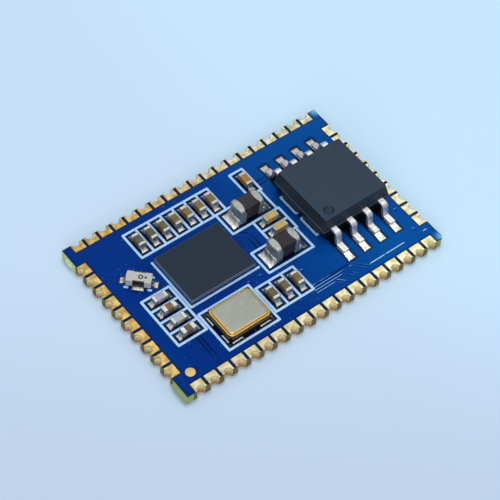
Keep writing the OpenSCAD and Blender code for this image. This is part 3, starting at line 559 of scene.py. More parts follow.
def bare_silicon():
    finish = Finish("bare_silicon", Specular_IOR_Level=0.3, Specular_Tint=SKY_GLOSS)
    up = finish.facing("Z", 0.97, 0.995)
    ground = finish.blend(finish.noise(0.06, 4), (14, 18, 25), (36, 44, 57))
    finish.set("Base Color", finish.blend(up, (120, 126, 138), ground))
    finish.set("Metallic", 1 - up)
    finish.set("Roughness", 0.25 + 0.2 * up)
    finish.relief(finish.noise(0.05, 3), 0.004)
    return finish.material


MOULD = mould_compound()
SILICON = bare_silicon()
print("Finishes:", MOULD.name, SILICON.name)

# %% [markdown]
# ## Ceramic finishes
# Fired ceramic is even, with a fine grain, and its tone differs a little from part to part. A wide noise over
# the whole board gives that without a material for each part. The capacitors of the back row's left half are
# greyer than the rest.

# %% Ceramic finishes
def fired_ceramic(name, tones, back_left=None):
    """Ceramic in two tones, or in another two in the back row's left half."""
    finish = Finish(name, Roughness=0.5, Specular_IOR_Level=0.3)
    batch = finish.step(finish.noise(0.2, 4) * 0.4 + finish.noise(2.2) * 0.6, 0.35, 0.65)
    colour = finish.blend(batch, *tones)
    if back_left:
        there = finish.past("Y", 0, 0.5 * MM) * (1 - finish.past("X", -6 * MM, -3 * MM))
        colour = finish.blend(there, colour, finish.blend(batch, *back_left))
    finish.set("Base Color", colour)
    finish.relief(finish.noise(0.05, 3), 0.004)
    return finish.material


CERAMICS = {
    "ferrite": fired_ceramic("ferrite", ((18, 16, 20), (44, 40, 44))),
    "brown_ceramic": fired_ceramic(
        "brown_ceramic", ((92, 82, 50), (132, 104, 60)), back_left=((62, 68, 54), (92, 92, 70))
    ),
    "amber_ceramic": fired_ceramic("amber_ceramic", ((126, 84, 28), (174, 128, 56))),
    "tan_ceramic": fired_ceramic("tan_ceramic", ((178, 150, 84), (212, 188, 122))),
    "grey_ceramic": fired_ceramic("grey_ceramic", ((150, 150, 164), (182, 182, 194))),
}
print("Finishes:", list(CERAMICS))

# %% [markdown]
# ## Filter finishes
# The filter is white ceramic with a ring and a dot on its top, which show which way round it goes. They are
# round masks rather than inset faces, because ink has no height. The filter's ends are tinned, while the
# metal on the middle of its sides is painted dark above a line of solder, as painted shade.

# %% Filter finishes
FILTER_TURN = -45
RING_OUT = 0.165 * MM
RING_IN = 0.075 * MM
DOT_OUT = 0.085 * MM
filter_low, filter_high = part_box("rf_filter_body")
filter_middle = middle(filter_low, filter_high)
along_filter = Matrix.Rotation(math.radians(FILTER_TURN), 3, "Z") @ Vector((1, 0, 0))
RING_AT = filter_middle + along_filter * 0.1 * MM
DOT_AT = filter_middle + along_filter * 0.41 * MM


def filter_ceramic():
    finish = Finish("white_ceramic", Roughness=0.5)
    plain = finish.blend(finish.noise(0.2, 4), (166, 165, 158), (196, 195, 188))
    ring = finish.spot(RING_AT, RING_OUT) - finish.spot(RING_AT, RING_IN)
    top = finish.past("Z", filter_high.z - 0.05 * MM, filter_high.z - 0.04 * MM)
    mark = (ring + finish.spot(DOT_AT, DOT_OUT)) * top
    finish.set("Base Color", finish.blend(mark, plain, (46, 40, 34)))
    finish.relief(finish.noise(0.05, 3), 0.004)
    return finish.material


def filter_metal():
    finish = Finish("filter_metal", Metallic=1.0)
    patches = finish.noise(0.2, 3)
    wetted = finish.blend(patches, (122, 114, 114), (236, 228, 228))
    foot = 1 - finish.past("Z", filter_low.z, filter_low.z + 0.06 * MM)
    # The middle of each side is painted dark above its solder: painted shade.
    painted_shade = finish.blend(foot, (72, 68, 71), wetted)
    along = (finish.axis("X") - filter_middle.x) * along_filter.x
    along = along + (finish.axis("Y") - filter_middle.y) * along_filter.y
    end = finish.step(abs(along), 0.45 * MM, 0.5 * MM)
    finish.set("Base Color", finish.blend(end, painted_shade, finish.blend(patches, *TIN_TONES)))
    finish.set("Roughness", 0.3 + 0.2 * finish.noise(0.12, 3))
    return finish.material


FILTER_CERAMIC = filter_ceramic()
FILTER_METAL = filter_metal()
print("Finishes:", FILTER_CERAMIC.name, FILTER_METAL.name)

# %% [markdown]
# ## Crystal finishes
# The crystal stands in a tray of dark ceramic, plated along its upper edge for the ring that is brazed onto
# it. Its lid is satin on top, with faint streaks along the board's length, and shows gold round its edge.

# %% Crystal finishes
lid_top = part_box("crystal_lid")[1].z
tray_low, tray_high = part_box("crystal_base")


def tray_ceramic():
    finish = Finish("dark_ceramic", Specular_IOR_Level=0.3)
    plain = finish.blend(finish.noise(0.2, 4), (10, 8, 12), (26, 22, 28))
    upper = finish.past("Z", tray_high.z - 0.1 * MM, tray_high.z - 0.09 * MM)
    plated = (1 - finish.facing("Z", 0.4, 0.6, "True Normal")) * upper
    finish.set("Base Color", finish.blend(plated, plain, (214, 172, 70)))
    finish.set("Metallic", plated)
    finish.set("Roughness", 0.5 - 0.2 * plated)
    return finish.material


def satin_lid():
    finish = Finish("satin_lid", Metallic=1.0)
    plain = finish.blend(finish.noise(0.4, 4), (128, 131, 124), (152, 154, 144))
    on_top = finish.past("Z", lid_top - 0.012 * MM, lid_top - 0.006 * MM)
    finish.set("Base Color", finish.blend(on_top, (232, 190, 96), plain))
    finish.set("Roughness", 0.34 + 0.12 * finish.noise(0.1, 3, (4, 1, 1)))
    finish.relief(finish.noise(0.04, 3), 0.002)
    return finish.material


TRAY = tray_ceramic()
LID = satin_lid()
print("Finishes:", TRAY.name, LID.name)

# %% [markdown]
# ## Dressing the solids
# Some solids, such as the flat lands and the small balls of solder, are right as they are and only take a
# finish.

# %% Dress the solids
for name, finish in {"component_lands": LAND, "radio_chip_balls": SOLDER, "crystal_base": TRAY}.items():
    slots = frame["nodes"][name].data.materials
    slots.clear()
    slots.append(finish)
    print(name, "takes", finish.name)

# %% [markdown]
# ## Making pieces
# New pieces are shaped in a bmesh and then handed over as an object that stands at the origin. Edges flatter
# than about 35 degrees are shaded smooth and sharper ones stay crisp. So do edges between a large face and
# the narrow bevel beside it, or else the bevel's bend would spread over the flat face and puff it up. Faces
# have to point outwards. Blender works that out from the furthest corner, so the volume's sign confirms it.

# %% Making pieces
SHARP_EDGE = math.radians(35)
FLAT_SHARE = 2.5


def add_piece(name, shape, finish, slot, *stands_for, sharp=SHARP_EDGE):
    bmesh.ops.recalc_face_normals(shape, faces=shape.faces)
    if shape.calc_volume(signed=True) < 0:
        bmesh.ops.reverse_faces(shape, faces=shape.faces)
    for face in shape.faces:
        face.smooth = True
    for edge in shape.edges:
        areas = sorted(face.calc_area() for face in edge.link_faces)
        edge.smooth = edge.calc_face_angle() < sharp and areas[1] < FLAT_SHARE * areas[0]
    mesh = bpy.data.meshes.new(name)
    shape.to_mesh(mesh)
    shape.free()
    mesh.materials.append(finish)
    piece = bpy.data.objects.new(name, mesh)
    bpy.context.scene.collection.objects.link(piece)
    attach(piece, "root")
    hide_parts(*stands_for)
    print(name, len(mesh.polygons), "faces")


print("Edges sharper than", round(math.degrees(SHARP_EDGE)), "degrees stay crisp")

# %% [markdown]
# ## Board corner
# The mill ran round the front right corner of the board and left it rounded. A bevel would have to find its
# way through the many triangles of the solids, so a fan of planes cuts the corner instead, and each cut is
# closed with one face. The glass board and the lacquer under it are cut here, the upper lacquer further on.

# %% Board corner
MERGE = 1e-8
CORNER_RADIUS = 0.26 * MM
CORNER_CUTS = 7


def merged_copy(node):
    shape = bmesh.new()
    shape.from_mesh(frame["nodes"][node].data)
    bmesh.ops.remove_doubles(shape, verts=shape.verts, dist=MERGE)
    return shape


def whole(shape):
    return shape.verts[:] + shape.edges[:] + shape.faces[:]


def open_edges(shape):
    return [e for e in shape.edges if e.is_boundary]


def round_corner(shape):
    centre = Vector((cad_high.x - CORNER_RADIUS, cad_low.y + CORNER_RADIUS, 0))
    for cut in range(CORNER_CUTS):
        turn = math.pi / 2 * (cut + 0.5) / CORNER_CUTS
        way = Vector((math.cos(turn), -math.sin(turn), 0))
        bmesh.ops.bisect_plane(
            shape, geom=whole(shape), dist=MERGE, plane_co=centre + way * CORNER_RADIUS, plane_no=way,
            clear_outer=True
        )
        bmesh.ops.contextual_create(shape, geom=open_edges(shape))


laminate = merged_copy("pcb_laminate")
round_corner(laminate)
add_piece("milled_laminate", laminate, LAMINATE, "laminate", "pcb_laminate")
underside = merged_copy("solder_mask_bottom")
round_corner(underside)
add_piece("under_lacquer", underside, LACQUER, "solder_mask", "solder_mask_bottom")

# %% [markdown]
# ## Lacquer
# Lacquer flows on wet, so it slopes down from the copper beside each track instead of falling in a step, and
# the slopes that face up to the light glint. A copy of the solid is merged, and the rim of its high ground is
# drawn in, which turns each step into a slope. A bevel would do the same but stops at the narrowest place.
# The lacquer half fills the gaps beside a track, so it lies lowest only round the parts and between the pads,
# and it runs up to the gold mark.

# %% Lacquer
SLOPE = 0.03 * MM
LONGEST_MITRE = 1.6
TRACK_DIP = 0.38
CELL_MARGIN = Vector((0.42, 0.42, 0)) * MM
FLAT = math.radians(10)
MARK_OPENING = 0.44 * MM
MARK_CLEAR = 0.008 * MM
SIDE_TURNS = {"front": 0, "right": 90, "back": 180, "left": 270}

cells = [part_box(n) for n in frame["nodes"] if n.endswith("_terminals") and not n.startswith("rf")]
cells = [(low - CELL_MARGIN, high + CELL_MARGIN) for low, high in cells + [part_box("crystal_base")]]
cells += [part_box("castellations_" + side) for side in SIDE_TURNS]


def in_cell(point):
    return any(low.x < point.x < high.x and low.y < point.y < high.y for low, high in cells)


def mitre(vert):
    """How far a rim point moves when each of its walls moves out by one, in plan."""
    walls = [f.normal for f in vert.link_faces if abs(f.normal.z) < 0.5]
    if not walls:
        return Vector((0, 0, 0))
    across = max(walls, key=lambda wall: (wall - walls[0]).length)
    away = (walls[0] + across) / (1 + walls[0].dot(across) + MERGE)
    return away.normalized() * min(away.length, LONGEST_MITRE)


lacquer = merged_copy("solder_mask_top")
lacquer.normal_update()
rim_moves = {v: mitre(v) * -SLOPE for v in lacquer.verts if v.co.z > board_top - LACQUER_DIP / 2}
for vert in lacquer.verts:
    if vert in rim_moves:
        vert.co += rim_moves[vert]
    elif vert.co.z > board_top - 1.5 * LACQUER_DIP and not in_cell(vert.co):
        vert.co.z = board_top - LACQUER_DIP * TRACK_DIP
mark_low, mark_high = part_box("fiducial_mark")
for vert in lacquer.verts:
    away = vert.co.xy - middle(mark_low, mark_high).xy
    if away.length < MARK_OPENING:
        vert.co.xy += away.normalized() * ((mark_high.x - mark_low.x) / 2 + MARK_CLEAR - away.length)
round_corner(lacquer)
add_piece("flowed_lacquer", lacquer, LACQUER, "solder_mask", "solder_mask_top", sharp=FLAT)

# %% [markdown]
# ## Legend
# White lines are printed round the parts. The line at the left of the flash memory has a small notch that
# marks the end with pin one, and the notch runs in under the body. Both stand too far out in the solid, so
# the points of the line are moved in a little, and those of the arc further, which gives it longer arms.

# %% Legend
LINE_WIDTH = 0.16 * MM
LINE_HALF = 2.0 * MM
LINE_MOVE = 0.06 * MM
NOTCH_OUT = 0.34 * MM
NOTCH_MOVE = 0.3 * MM

legend = merged_copy("silkscreen")
for vert in legend.verts:
    inward = vert.co.x - flash_low.x
    sideways = abs(vert.co.y - flash_middle.y)
    if abs(inward) < LINE_WIDTH / 2 + MERGE and sideways < LINE_HALF:
        vert.co.x += LINE_MOVE
    elif 0 < inward < NOTCH_OUT and sideways < NOTCH_OUT:
        vert.co.x += NOTCH_MOVE
add_piece("printed_lines", legend, LEGEND, "legend", "silkscreen")

# %% [markdown]
# ## Edge pad
# Each pad is a gold plate on both faces, joined by the plated wall of a drilled hole that the mill cut in
# half. A boolean could cut the hole, but a half circle swept by spin gives an even rim that bevels cleanly.

# %% Edge pad
PAD_WIDTH = 0.82 * MM
PAD_REACH = 0.65 * MM
PAD_THICK = 0.035 * MM
PAD_SOFT = 0.022 * MM
HOLE_RADIUS = 0.27 * MM
HOLE_STEPS = 18
PLATING = 0.03 * MM


def verts_of(result, key="geom"):
    return [g for g in result[key] if isinstance(g, bmesh.types.BMVert)]


def thicken(shape, by):
    lifted = bmesh.ops.extrude_face_region(shape, geom=shape.faces[:])
    bmesh.ops.translate(shape, verts=verts_of(lifted), vec=by)


def edges_above(shape, height):
    return [e for e in shape.edges if all(v.co.z > height for v in e.verts)]


def soften(shape, edges, width, steps=2):
    bmesh.ops.bevel(shape, geom=edges, offset=width, segments=steps, profile=0.5, affect="EDGES", material=-1)


def half_turn(shape, geom):
    return bmesh.ops.spin(shape, geom=geom, cent=(0, 0, 0), axis=(0, 0, 1), angle=math.pi, steps=HOLE_STEPS)


def pad_plate():
    shape = bmesh.new()
    rim = shape.verts.new((HOLE_RADIUS, 0, 0))
    end = verts_of(half_turn(shape, [rim]), "geom_last")[0]
    half = PAD_WIDTH / 2
    outline = [(-half, 0, 0), (-half, PAD_REACH, 0), (half, PAD_REACH, 0), (half, 0, 0)]
    chain = [end, *(shape.verts.new(corner) for corner in outline), rim]
    for start, stop in zip(chain, chain[1:]):
        shape.edges.new((start, stop))
    bmesh.ops.contextual_create(shape, geom=shape.edges[:])
    thicken(shape, (0, 0, PAD_THICK))
    bmesh.ops.recalc_face_normals(shape, faces=shape.faces)
    soften(shape, edges_above(shape, PAD_THICK / 2), PAD_SOFT)
    return shape


def hole_wall(height):
    shape = bmesh.new()
    outside = HOLE_RADIUS + PLATING
    section = [(HOLE_RADIUS, 0), (outside, 0), (outside, height), (HOLE_RADIUS, height)]
    shape.faces.new([shape.verts.new((x, 0, z)) for x, z in section])
    half_turn(shape, whole(shape))
    return shape


print("One pad is", round(PAD_WIDTH / MM, 2), "mm wide")

# %% [markdown]
# ## Rows of pads
# Nineteen pads stand along each long side and ten along each short one. An array modifier would repeat them,
# but a stamped copy also takes the turn to each side, and a row becomes one piece.

# %% Rows of pads
PAD_PITCH = 1.0 * MM


def stamp(target, source, matrix):
    """Adds a moved copy of one shape to another."""
    passing = bpy.data.meshes.new("passing")
    source.to_mesh(passing)
    passing.transform(matrix)
    target.from_mesh(passing)
    bpy.data.meshes.remove(passing)


def turned(degrees):
    return Matrix.Rotation(math.radians(degrees), 4, "Z")


def spaced(count, pitch):
    """Places in a row that is centred on nought."""
    return [(place - (count - 1) / 2) * pitch for place in range(count)]


def edge_pad(low, high):
    shape = bmesh.new()
    plate = pad_plate()
    wall = hole_wall(high.z - low.z - 2 * PAD_THICK)
    foot = Matrix.Translation((0, 0, low.z + PAD_THICK))
    stamp(shape, plate, Matrix.Translation((0, 0, high.z - PAD_THICK)))
    stamp(shape, plate, foot @ Matrix.Rotation(math.pi, 4, "Y"))
    stamp(shape, wall, foot)
    plate.free()
    wall.free()
    return shape


for side, turn in SIDE_TURNS.items():
    node = "castellations_" + side
    low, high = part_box(node)
    along, across = (0, 1) if side in ("front", "back") else (1, 0)
    count = round((high[along] - low[along] - PAD_WIDTH) / PAD_PITCH) + 1
    depth = max(-low[across], high[across])
    row = bmesh.new()
    pad = edge_pad(low, high)
    for shift in spaced(count, PAD_PITCH):
        stamp(row, pad, turned(turn) @ Matrix.Translation((shift, -depth, 0)))
    pad.free()
    finish = PALE_GOLD if side in ("front", "right") else DEEP_GOLD
    add_piece("edge_pads_" + side, row, finish, "gold_plate", node)

# %% [markdown]
# ## Camera mark
# The machine that places the parts has a camera, which finds the board by a round mark of bare gold. It is a
# low disc, so a circle gets its thickness and a softened rim.

# %% Camera mark
MARK_STEPS = 48


def move(shape, by):
    bmesh.ops.translate(shape, verts=shape.verts, vec=by)


mark_size = mark_high - mark_low
mark_middle = middle(mark_low, mark_high)
mark = bmesh.new()
bmesh.ops.create_circle(mark, cap_ends=True, segments=MARK_STEPS, radius=mark_size.x / 2)
thicken(mark, (0, 0, mark_size.z))
move(mark, (*mark_middle.xy, mark_low.z))
soften(mark, edges_above(mark, mark_middle.z), PAD_SOFT)
add_piece("camera_mark", mark, MARK_GOLD, "gold_plate", "fiducial_mark")

# %% [markdown]
# ## Flash memory body
# The body is moulded between two halves of a tool, so its sides slope in both ways from a parting line at
# the height of the leads. A cube gets that line by a bisect, its ends are drawn in for the draft, and bevels
# round the corners and the line, which leaves a thin lip that glints. Where bevels meet they leave points on
# top of each other, which are merged. The photograph shows the body a little longer than the solid, so both
# of its ends are set out.

# %% Flash memory body
DRAFT = 0.27 * MM
CORNER_ROUND = 0.12 * MM
TOP_SOFT = 0.03 * MM
END_OUT = 0.11 * MM
BEVEL_MERGE = 0.0005 * MM


def block(size):
    shape = bmesh.new()
    bmesh.ops.create_cube(shape, size=1, matrix=Matrix.Diagonal((*size, 1)))
    return shape


def rising_edges(shape):
    return [e for e in shape.edges if abs(e.verts[0].co.z - e.verts[1].co.z) > MERGE]


flash_size = flash_high - flash_low
flash_half = flash_size / 2
body = block(flash_size + Vector((2 * END_OUT, 0, 0)))
bmesh.ops.bisect_plane(body, geom=whole(body), dist=MERGE, plane_co=(0, 0, 0), plane_no=(0, 0, 1))
for vert in body.verts:
    if abs(vert.co.z) > flash_half.z / 2:
        vert.co.x -= math.copysign(DRAFT, vert.co.x)
        vert.co.y -= math.copysign(DRAFT, vert.co.y)
soften(body, rising_edges(body), CORNER_ROUND, 4)
parting = [e for e in body.edges if all(abs(v.co.z) < MERGE for v in e.verts)]
soften(body, parting, PARTING_LIP, 2)
soften(body, edges_above(body, flash_half.z - MERGE), TOP_SOFT, 3)
bmesh.ops.remove_doubles(body, verts=body.verts, dist=BEVEL_MERGE)
print("Flash memory body:", len(body.faces), "faces before its dimple")

# %% [markdown]
# ## Pin one dimple
# A round dimple in the top marks pin one. A boolean could cut it, but the rim would stay sharp. So the top
# face is filled again round a circle, and the circle is run down in rings that draw in like a bowl.

# %% Pin one dimple
DIMPLE_RADIUS = 0.35 * MM
DIMPLE_DEPTH = 0.09 * MM
DIMPLE_IN = 0.85 * MM
DIMPLE_STEPS = 40
# Each ring's shares of the depth, and of the radius that it is drawn in by.
DIMPLE_RINGS = ((0.3, 0.06), (0.85, 0.14), (1.0, 0.3))


def edges_of(result, key="geom"):
    return [g for g in result[key] if isinstance(g, bmesh.types.BMEdge)]


def far_edges(result):
    """The edges between the new points of an extrusion."""
    new = set(verts_of(result))
    return [e for e in edges_of(result) if new.issuperset(e.verts)]


def edges_at(verts):
    return list({e for v in verts for e in v.link_edges})


def top_of(shape):
    return max(shape.faces, key=lambda f: f.calc_center_median().z)


top_face = top_of(body)
rim = top_face.edges[:]
bmesh.ops.delete(body, geom=[top_face], context="FACES_ONLY")
dimple_at = Vector((DIMPLE_IN - flash_half.x, DIMPLE_IN - flash_half.y, flash_half.z))
centred = Matrix.Translation(dimple_at)
circle = bmesh.ops.create_circle(body, segments=DIMPLE_STEPS, radius=DIMPLE_RADIUS, matrix=centred)
ring = edges_at(circle["verts"])
bmesh.ops.triangle_fill(body, edges=rim + ring, use_beauty=True, normal=(0, 0, 1))
for depth, inset in DIMPLE_RINGS:
    down = bmesh.ops.extrude_edge_only(body, edges=ring)
    ring = far_edges(down)
    for vert in verts_of(down):
        away = vert.co.xy - dimple_at.xy
        vert.co.xy = dimple_at.xy + away.normalized() * DIMPLE_RADIUS * (1 - inset)
        vert.co.z = flash_half.z - DIMPLE_DEPTH * depth
bmesh.ops.contextual_create(body, geom=ring)
move(body, flash_middle)
add_piece("moulded_flash_body", body, MOULD, "mould_compound", "flash_chip_body")

# %% [markdown]
# ## Radio chip
# The radio chip is a bare slice of silicon that lies face down on its solder balls. A saw cut it out, so its
# sides are mirrors while its ground back is dull. Its edges are softened a little, so that they glint.

# %% Radio chip
DIE_SOFT = 0.04 * MM


def rounded_box(size, radius, steps=3):
    shape = block(size)
    soften(shape, shape.edges[:], radius, steps)
    return shape


low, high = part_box("radio_chip_die")
die = rounded_box(high - low, DIE_SOFT, 4)
move(die, middle(low, high))
add_piece("sawn_die", die, SILICON, "silicon", "radio_chip_die")

# %% [markdown]
# ## Gull wing lead
# A lead is a strip of plated copper, sheared and bent twice. Modelling it the same way is the clearest: one
# short edge is run straight out, swept round each bend by spin, and the strip then gets its width.

# %% Gull wing lead
LEAD_THICK = 0.2 * MM
LEAD_WIDTH = 0.42 * MM
LEAD_BEND = 0.2 * MM
LEAD_SLOPE = math.radians(80)
LEAD_ANCHOR = 0.3 * MM
LEAD_SOFT = 0.025 * MM
BEND_STEPS = 8

lead_toe = (lead_high.y - lead_low.y) / 2
shoulder_z = lead_high.z - LEAD_THICK / 2
foot_z = lead_low.z + LEAD_THICK / 2
drop = shoulder_z - foot_z - 2 * LEAD_BEND * (1 - math.cos(LEAD_SLOPE))
leg = Vector((drop / math.tan(LEAD_SLOPE), 0, -drop))


def run_on(shape, edge, by):
    """Extrudes an edge straight on and returns the edge at the far end."""
    result = bmesh.ops.extrude_edge_only(shape, edges=[edge])
    bmesh.ops.translate(shape, verts=verts_of(result), vec=by)
    return far_edges(result)[0]


def bend_on(shape, edge, centre, angle):
    result = bmesh.ops.spin(shape, geom=[edge], cent=centre, axis=(0, 1, 0), angle=angle, steps=BEND_STEPS)
    return edges_of(result, "geom_last")[0]


def heel_at(shoulder):
    return flash_half.y + shoulder + 2 * LEAD_BEND * math.sin(LEAD_SLOPE) + leg.x


def gull_wing(shoulder):
    shape = bmesh.new()
    start = flash_half.y - LEAD_ANCHOR
    bend_out = flash_half.y + shoulder
    heel_out = heel_at(shoulder)
    ends = [shape.verts.new((start, 0, shoulder_z + s * LEAD_THICK / 2)) for s in (-1, 1)]
    edge = shape.edges.new(ends)
    edge = run_on(shape, edge, (bend_out - start, 0, 0))
    edge = bend_on(shape, edge, (bend_out, 0, shoulder_z - LEAD_BEND), LEAD_SLOPE)
    edge = run_on(shape, edge, leg)
    edge = bend_on(shape, edge, (heel_out, 0, foot_z + LEAD_BEND), -LEAD_SLOPE)
    run_on(shape, edge, (lead_toe - heel_out, 0, 0))
    thicken(shape, (0, LEAD_WIDTH, 0))
    move(shape, (0, -LEAD_WIDTH / 2, 0))
    bmesh.ops.recalc_face_normals(shape, faces=shape.faces)
    creases = [e for e in shape.edges if len(e.link_faces) == 2 and e.calc_face_angle() > SHARP_EDGE]
    soften(shape, creases, LEAD_SOFT)
    return shape


print("A lead drops", round((shoulder_z - foot_z) / MM, 2), "mm to its foot")

# %% [markdown]
# ## Rows of leads
# Four leads stand at the front of the flash memory and four at its back. The body sits a little forward on
# its leads, so those at the back show longer shoulders. One lead of each row is built and stamped along it.

# %% Rows of leads
LEAD_PITCH = 1.27 * MM
LEAD_COUNT = 4
FRONT_SHOULDER = 0.2 * MM
BACK_SHOULDER = 0.36 * MM
LEAD_ROWS = ((-90, FRONT_SHOULDER), (90, BACK_SHOULDER))


def lead_places(turn):
    at = Matrix.Translation((*flash_middle.xy, 0))
    for along in spaced(LEAD_COUNT, LEAD_PITCH):
        yield at @ turned(turn) @ Matrix.Translation((0, along, 0))


leads = bmesh.new()
for turn, shoulder in LEAD_ROWS:
    lead = gull_wing(shoulder)
    for place in lead_places(turn):
        stamp(leads, lead, place)
    lead.free()
add_piece("gull_wing_leads", leads, LEAD, "tin_plate", "flash_chip_leads")

# %% [markdown]
# ## Solder
# Molten solder wets the whole land, thins towards its rim and climbs the terminal in a hollow curve.
# Each joint is a grid laid over its land and lifted by that curve, which is simpler than a sculpt and gives
# the smooth mirror that makes solder look wet. A skirt closes it down to the land.

# %% Solder
LAND_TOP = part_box("component_lands")[1].z
POOL_CELLS = (18, 16)
FILM = 0.03 * MM
RIM_SHARE = 0.15
SIDE_POWER = 6
TOE_POWER = 8
LUMPS = 0.26
LUMP_SIZE = 0.14 * MM


def solder_joint(start, run, width, rise, hollow=2.4):
    """A joint along +X: film from start back under the terminal, a hollow fillet from 0 out to run."""
    shape = bmesh.new()
    length = run - start
    bmesh.ops.create_grid(shape, x_segments=POOL_CELLS[0], y_segments=POOL_CELLS[1], size=0.5)
    bmesh.ops.scale(shape, verts=shape.verts, vec=(length, width, 1))
    move(shape, (start + length / 2, 0, 0))
    for vert in shape.verts:
        out = min(1.0, max(0.0, vert.co.x) / run)
        aside = min(1.0, abs(vert.co.y) / (width / 2))
        swell = (1 - aside ** SIDE_POWER) ** 0.5 * (1 - out ** TOE_POWER) ** 0.5
        lump = 1 + LUMPS * noise.noise(Vector((vert.co.x, vert.co.y, rise)) / LUMP_SIZE)
        climb = FILM + (rise - FILM) * (1 - out) ** hollow
        vert.co.z = climb * (RIM_SHARE + (1 - RIM_SHARE) * swell) * lump
    skirt = bmesh.ops.extrude_edge_only(shape, edges=open_edges(shape))
    for vert in verts_of(skirt):
        vert.co.z = 0
    bmesh.ops.contextual_create(shape, geom=open_edges(shape))
    move(shape, (0, 0, LAND_TOP))
    return shape


print("Solder starts at", round(LAND_TOP / MM, 3), "mm")

# %% [markdown]
# ## Solder at the leads
# Each foot of the flash memory stands in a low pool that runs out past its toe, a little further at the front
# than at the back. The pool is the same joint, stretched from the heel to beyond the toe.

# %% Solder at the leads
FRONT_TOE = 0.6 * MM
BACK_TOE = 0.5 * MM
FOOT_WIDTH = 0.5 * MM
FOOT_RISE = 0.1 * MM

foot_solder = bmesh.new()
for (turn, shoulder), toe in zip(LEAD_ROWS, (FRONT_TOE, BACK_TOE)):
    joint = solder_joint(heel_at(shoulder) - lead_toe, toe, FOOT_WIDTH, FOOT_RISE)
    for place in lead_places(turn):
        stamp(foot_solder, joint, place @ Matrix.Translation((lead_toe, 0, 0)))
    joint.free()
add_piece("lead_foot_solder", foot_solder, SOLDER, "solder", "flash_lead_solder")

# %% [markdown]
# ## Chip parts
# A chip capacitor is a fired ceramic brick whose ends were dipped in metal. The dip rounds its edges and
# stands a little proud of the brick, so each part is one softened brick with a softened cap over each end.

# %% Chip parts
CHIP_BAND = 0.22 * MM
CHIP_PLATE = 0.02 * MM
CHIP_ROUND = 0.045 * MM
CHIP_TOE = 0.26 * MM
CHIP_RISE = 0.55
CHIP_JOINT = 0.86
OWN_BANDS = {"bypass_capacitor": 0.11 * MM, "matching_inductor": 0.25 * MM, "matching_capacitor": 0.31 * MM}
BODY_SLOTS = {"bypass_capacitor": "tan_ceramic", "matching_inductor": "grey_ceramic"}
BOTH_WAYS = Vector((2, 2, 2))


def chip_place(low, high):
    """For a part made along X at the origin: its place on the board, that place at mid height, its size."""
    size = high - low
    centre = middle(low, high)
    along_y = size.y > size.x
    place = Matrix.Translation((centre.x, centre.y, 0)) @ turned(90 if along_y else 0)
    return place, place @ Matrix.Translation((0, 0, centre.z)), size.yxz if along_y else size


def placed(shape, matrix):
    shape.transform(matrix)
    shape.normal_update()
    return shape


solder = bmesh.new()
capped = [n.removesuffix("_terminals") for n in frame["nodes"] if n.endswith("_terminals")]
for chip in sorted(n for n in capped if not n.startswith(("power", "rf"))):
    place, centre, size = chip_place(*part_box(chip + "_terminals"))
    kind = chip.rstrip("_0123456789")
    slot = BODY_SLOTS.get(kind, "brown_ceramic")
    band = OWN_BANDS.get(kind, CHIP_BAND)
    fired = "amber_ceramic" if kind == "feed_capacitor" else slot
    brick = placed(rounded_box(size - BOTH_WAYS * CHIP_PLATE, CHIP_ROUND - CHIP_PLATE), centre)
    add_piece(chip + "_brick", brick, CERAMICS[fired], slot, chip + "_body")
    caps = bmesh.new()
    cap = rounded_box((band, size.y, size.z), CHIP_ROUND)
    joint = solder_joint(-CHIP_BAND, CHIP_TOE, CHIP_JOINT * size.y, CHIP_RISE * size.z)
    for turn in (0, 180):
        stamp(caps, cap, centre @ turned(turn) @ Matrix.Translation(((size.x - band) / 2, 0, 0)))
        stamp(solder, joint, place @ turned(turn) @ Matrix.Translation((size.x / 2, 0, 0)))
    cap.free()
    joint.free()
    add_piece(chip + "_caps", caps, TIN, "tin_plate", chip + "_terminals")

# %% [markdown]
# ## Dipped ends
# The ends of the power inductors were dipped deeper, so the metal runs furthest along the middle of each face
# and the end itself is domed. One ring of the section is drawn out from the inner lip to the end, and each
# ring is bowed or domed on its way.

# %% Dipped ends
INDUCTOR_BAND = 0.52 * MM
INDUCTOR_BOW = 0.17 * MM
INDUCTOR_DOME = 0.13 * MM
INDUCTOR_PLATE = 0.045 * MM
LIP_SOFT = 0.012 * MM
SECTION_STEPS = 64
SECTION_POWER = 8
# Each ring's millimetres back from the end, the millimetres it is drawn in by, and its share of the dome.
END_RINGS = (
    (0.2, 0, 0.7), (0.075, 0.006, 0.95), (0.035, 0.022, 1), (0.012, 0.05, 1), (0, 0.1, 1), (0, 0.3, 1)
)


def section_point(way, half_y, half_z):
    """Moves a point of a unit circle in YZ out to a rounded oblong."""
    reach = abs(way.y / half_y) ** SECTION_POWER + abs(way.z / half_z) ** SECTION_POWER
    return way * reach ** (-1 / SECTION_POWER)


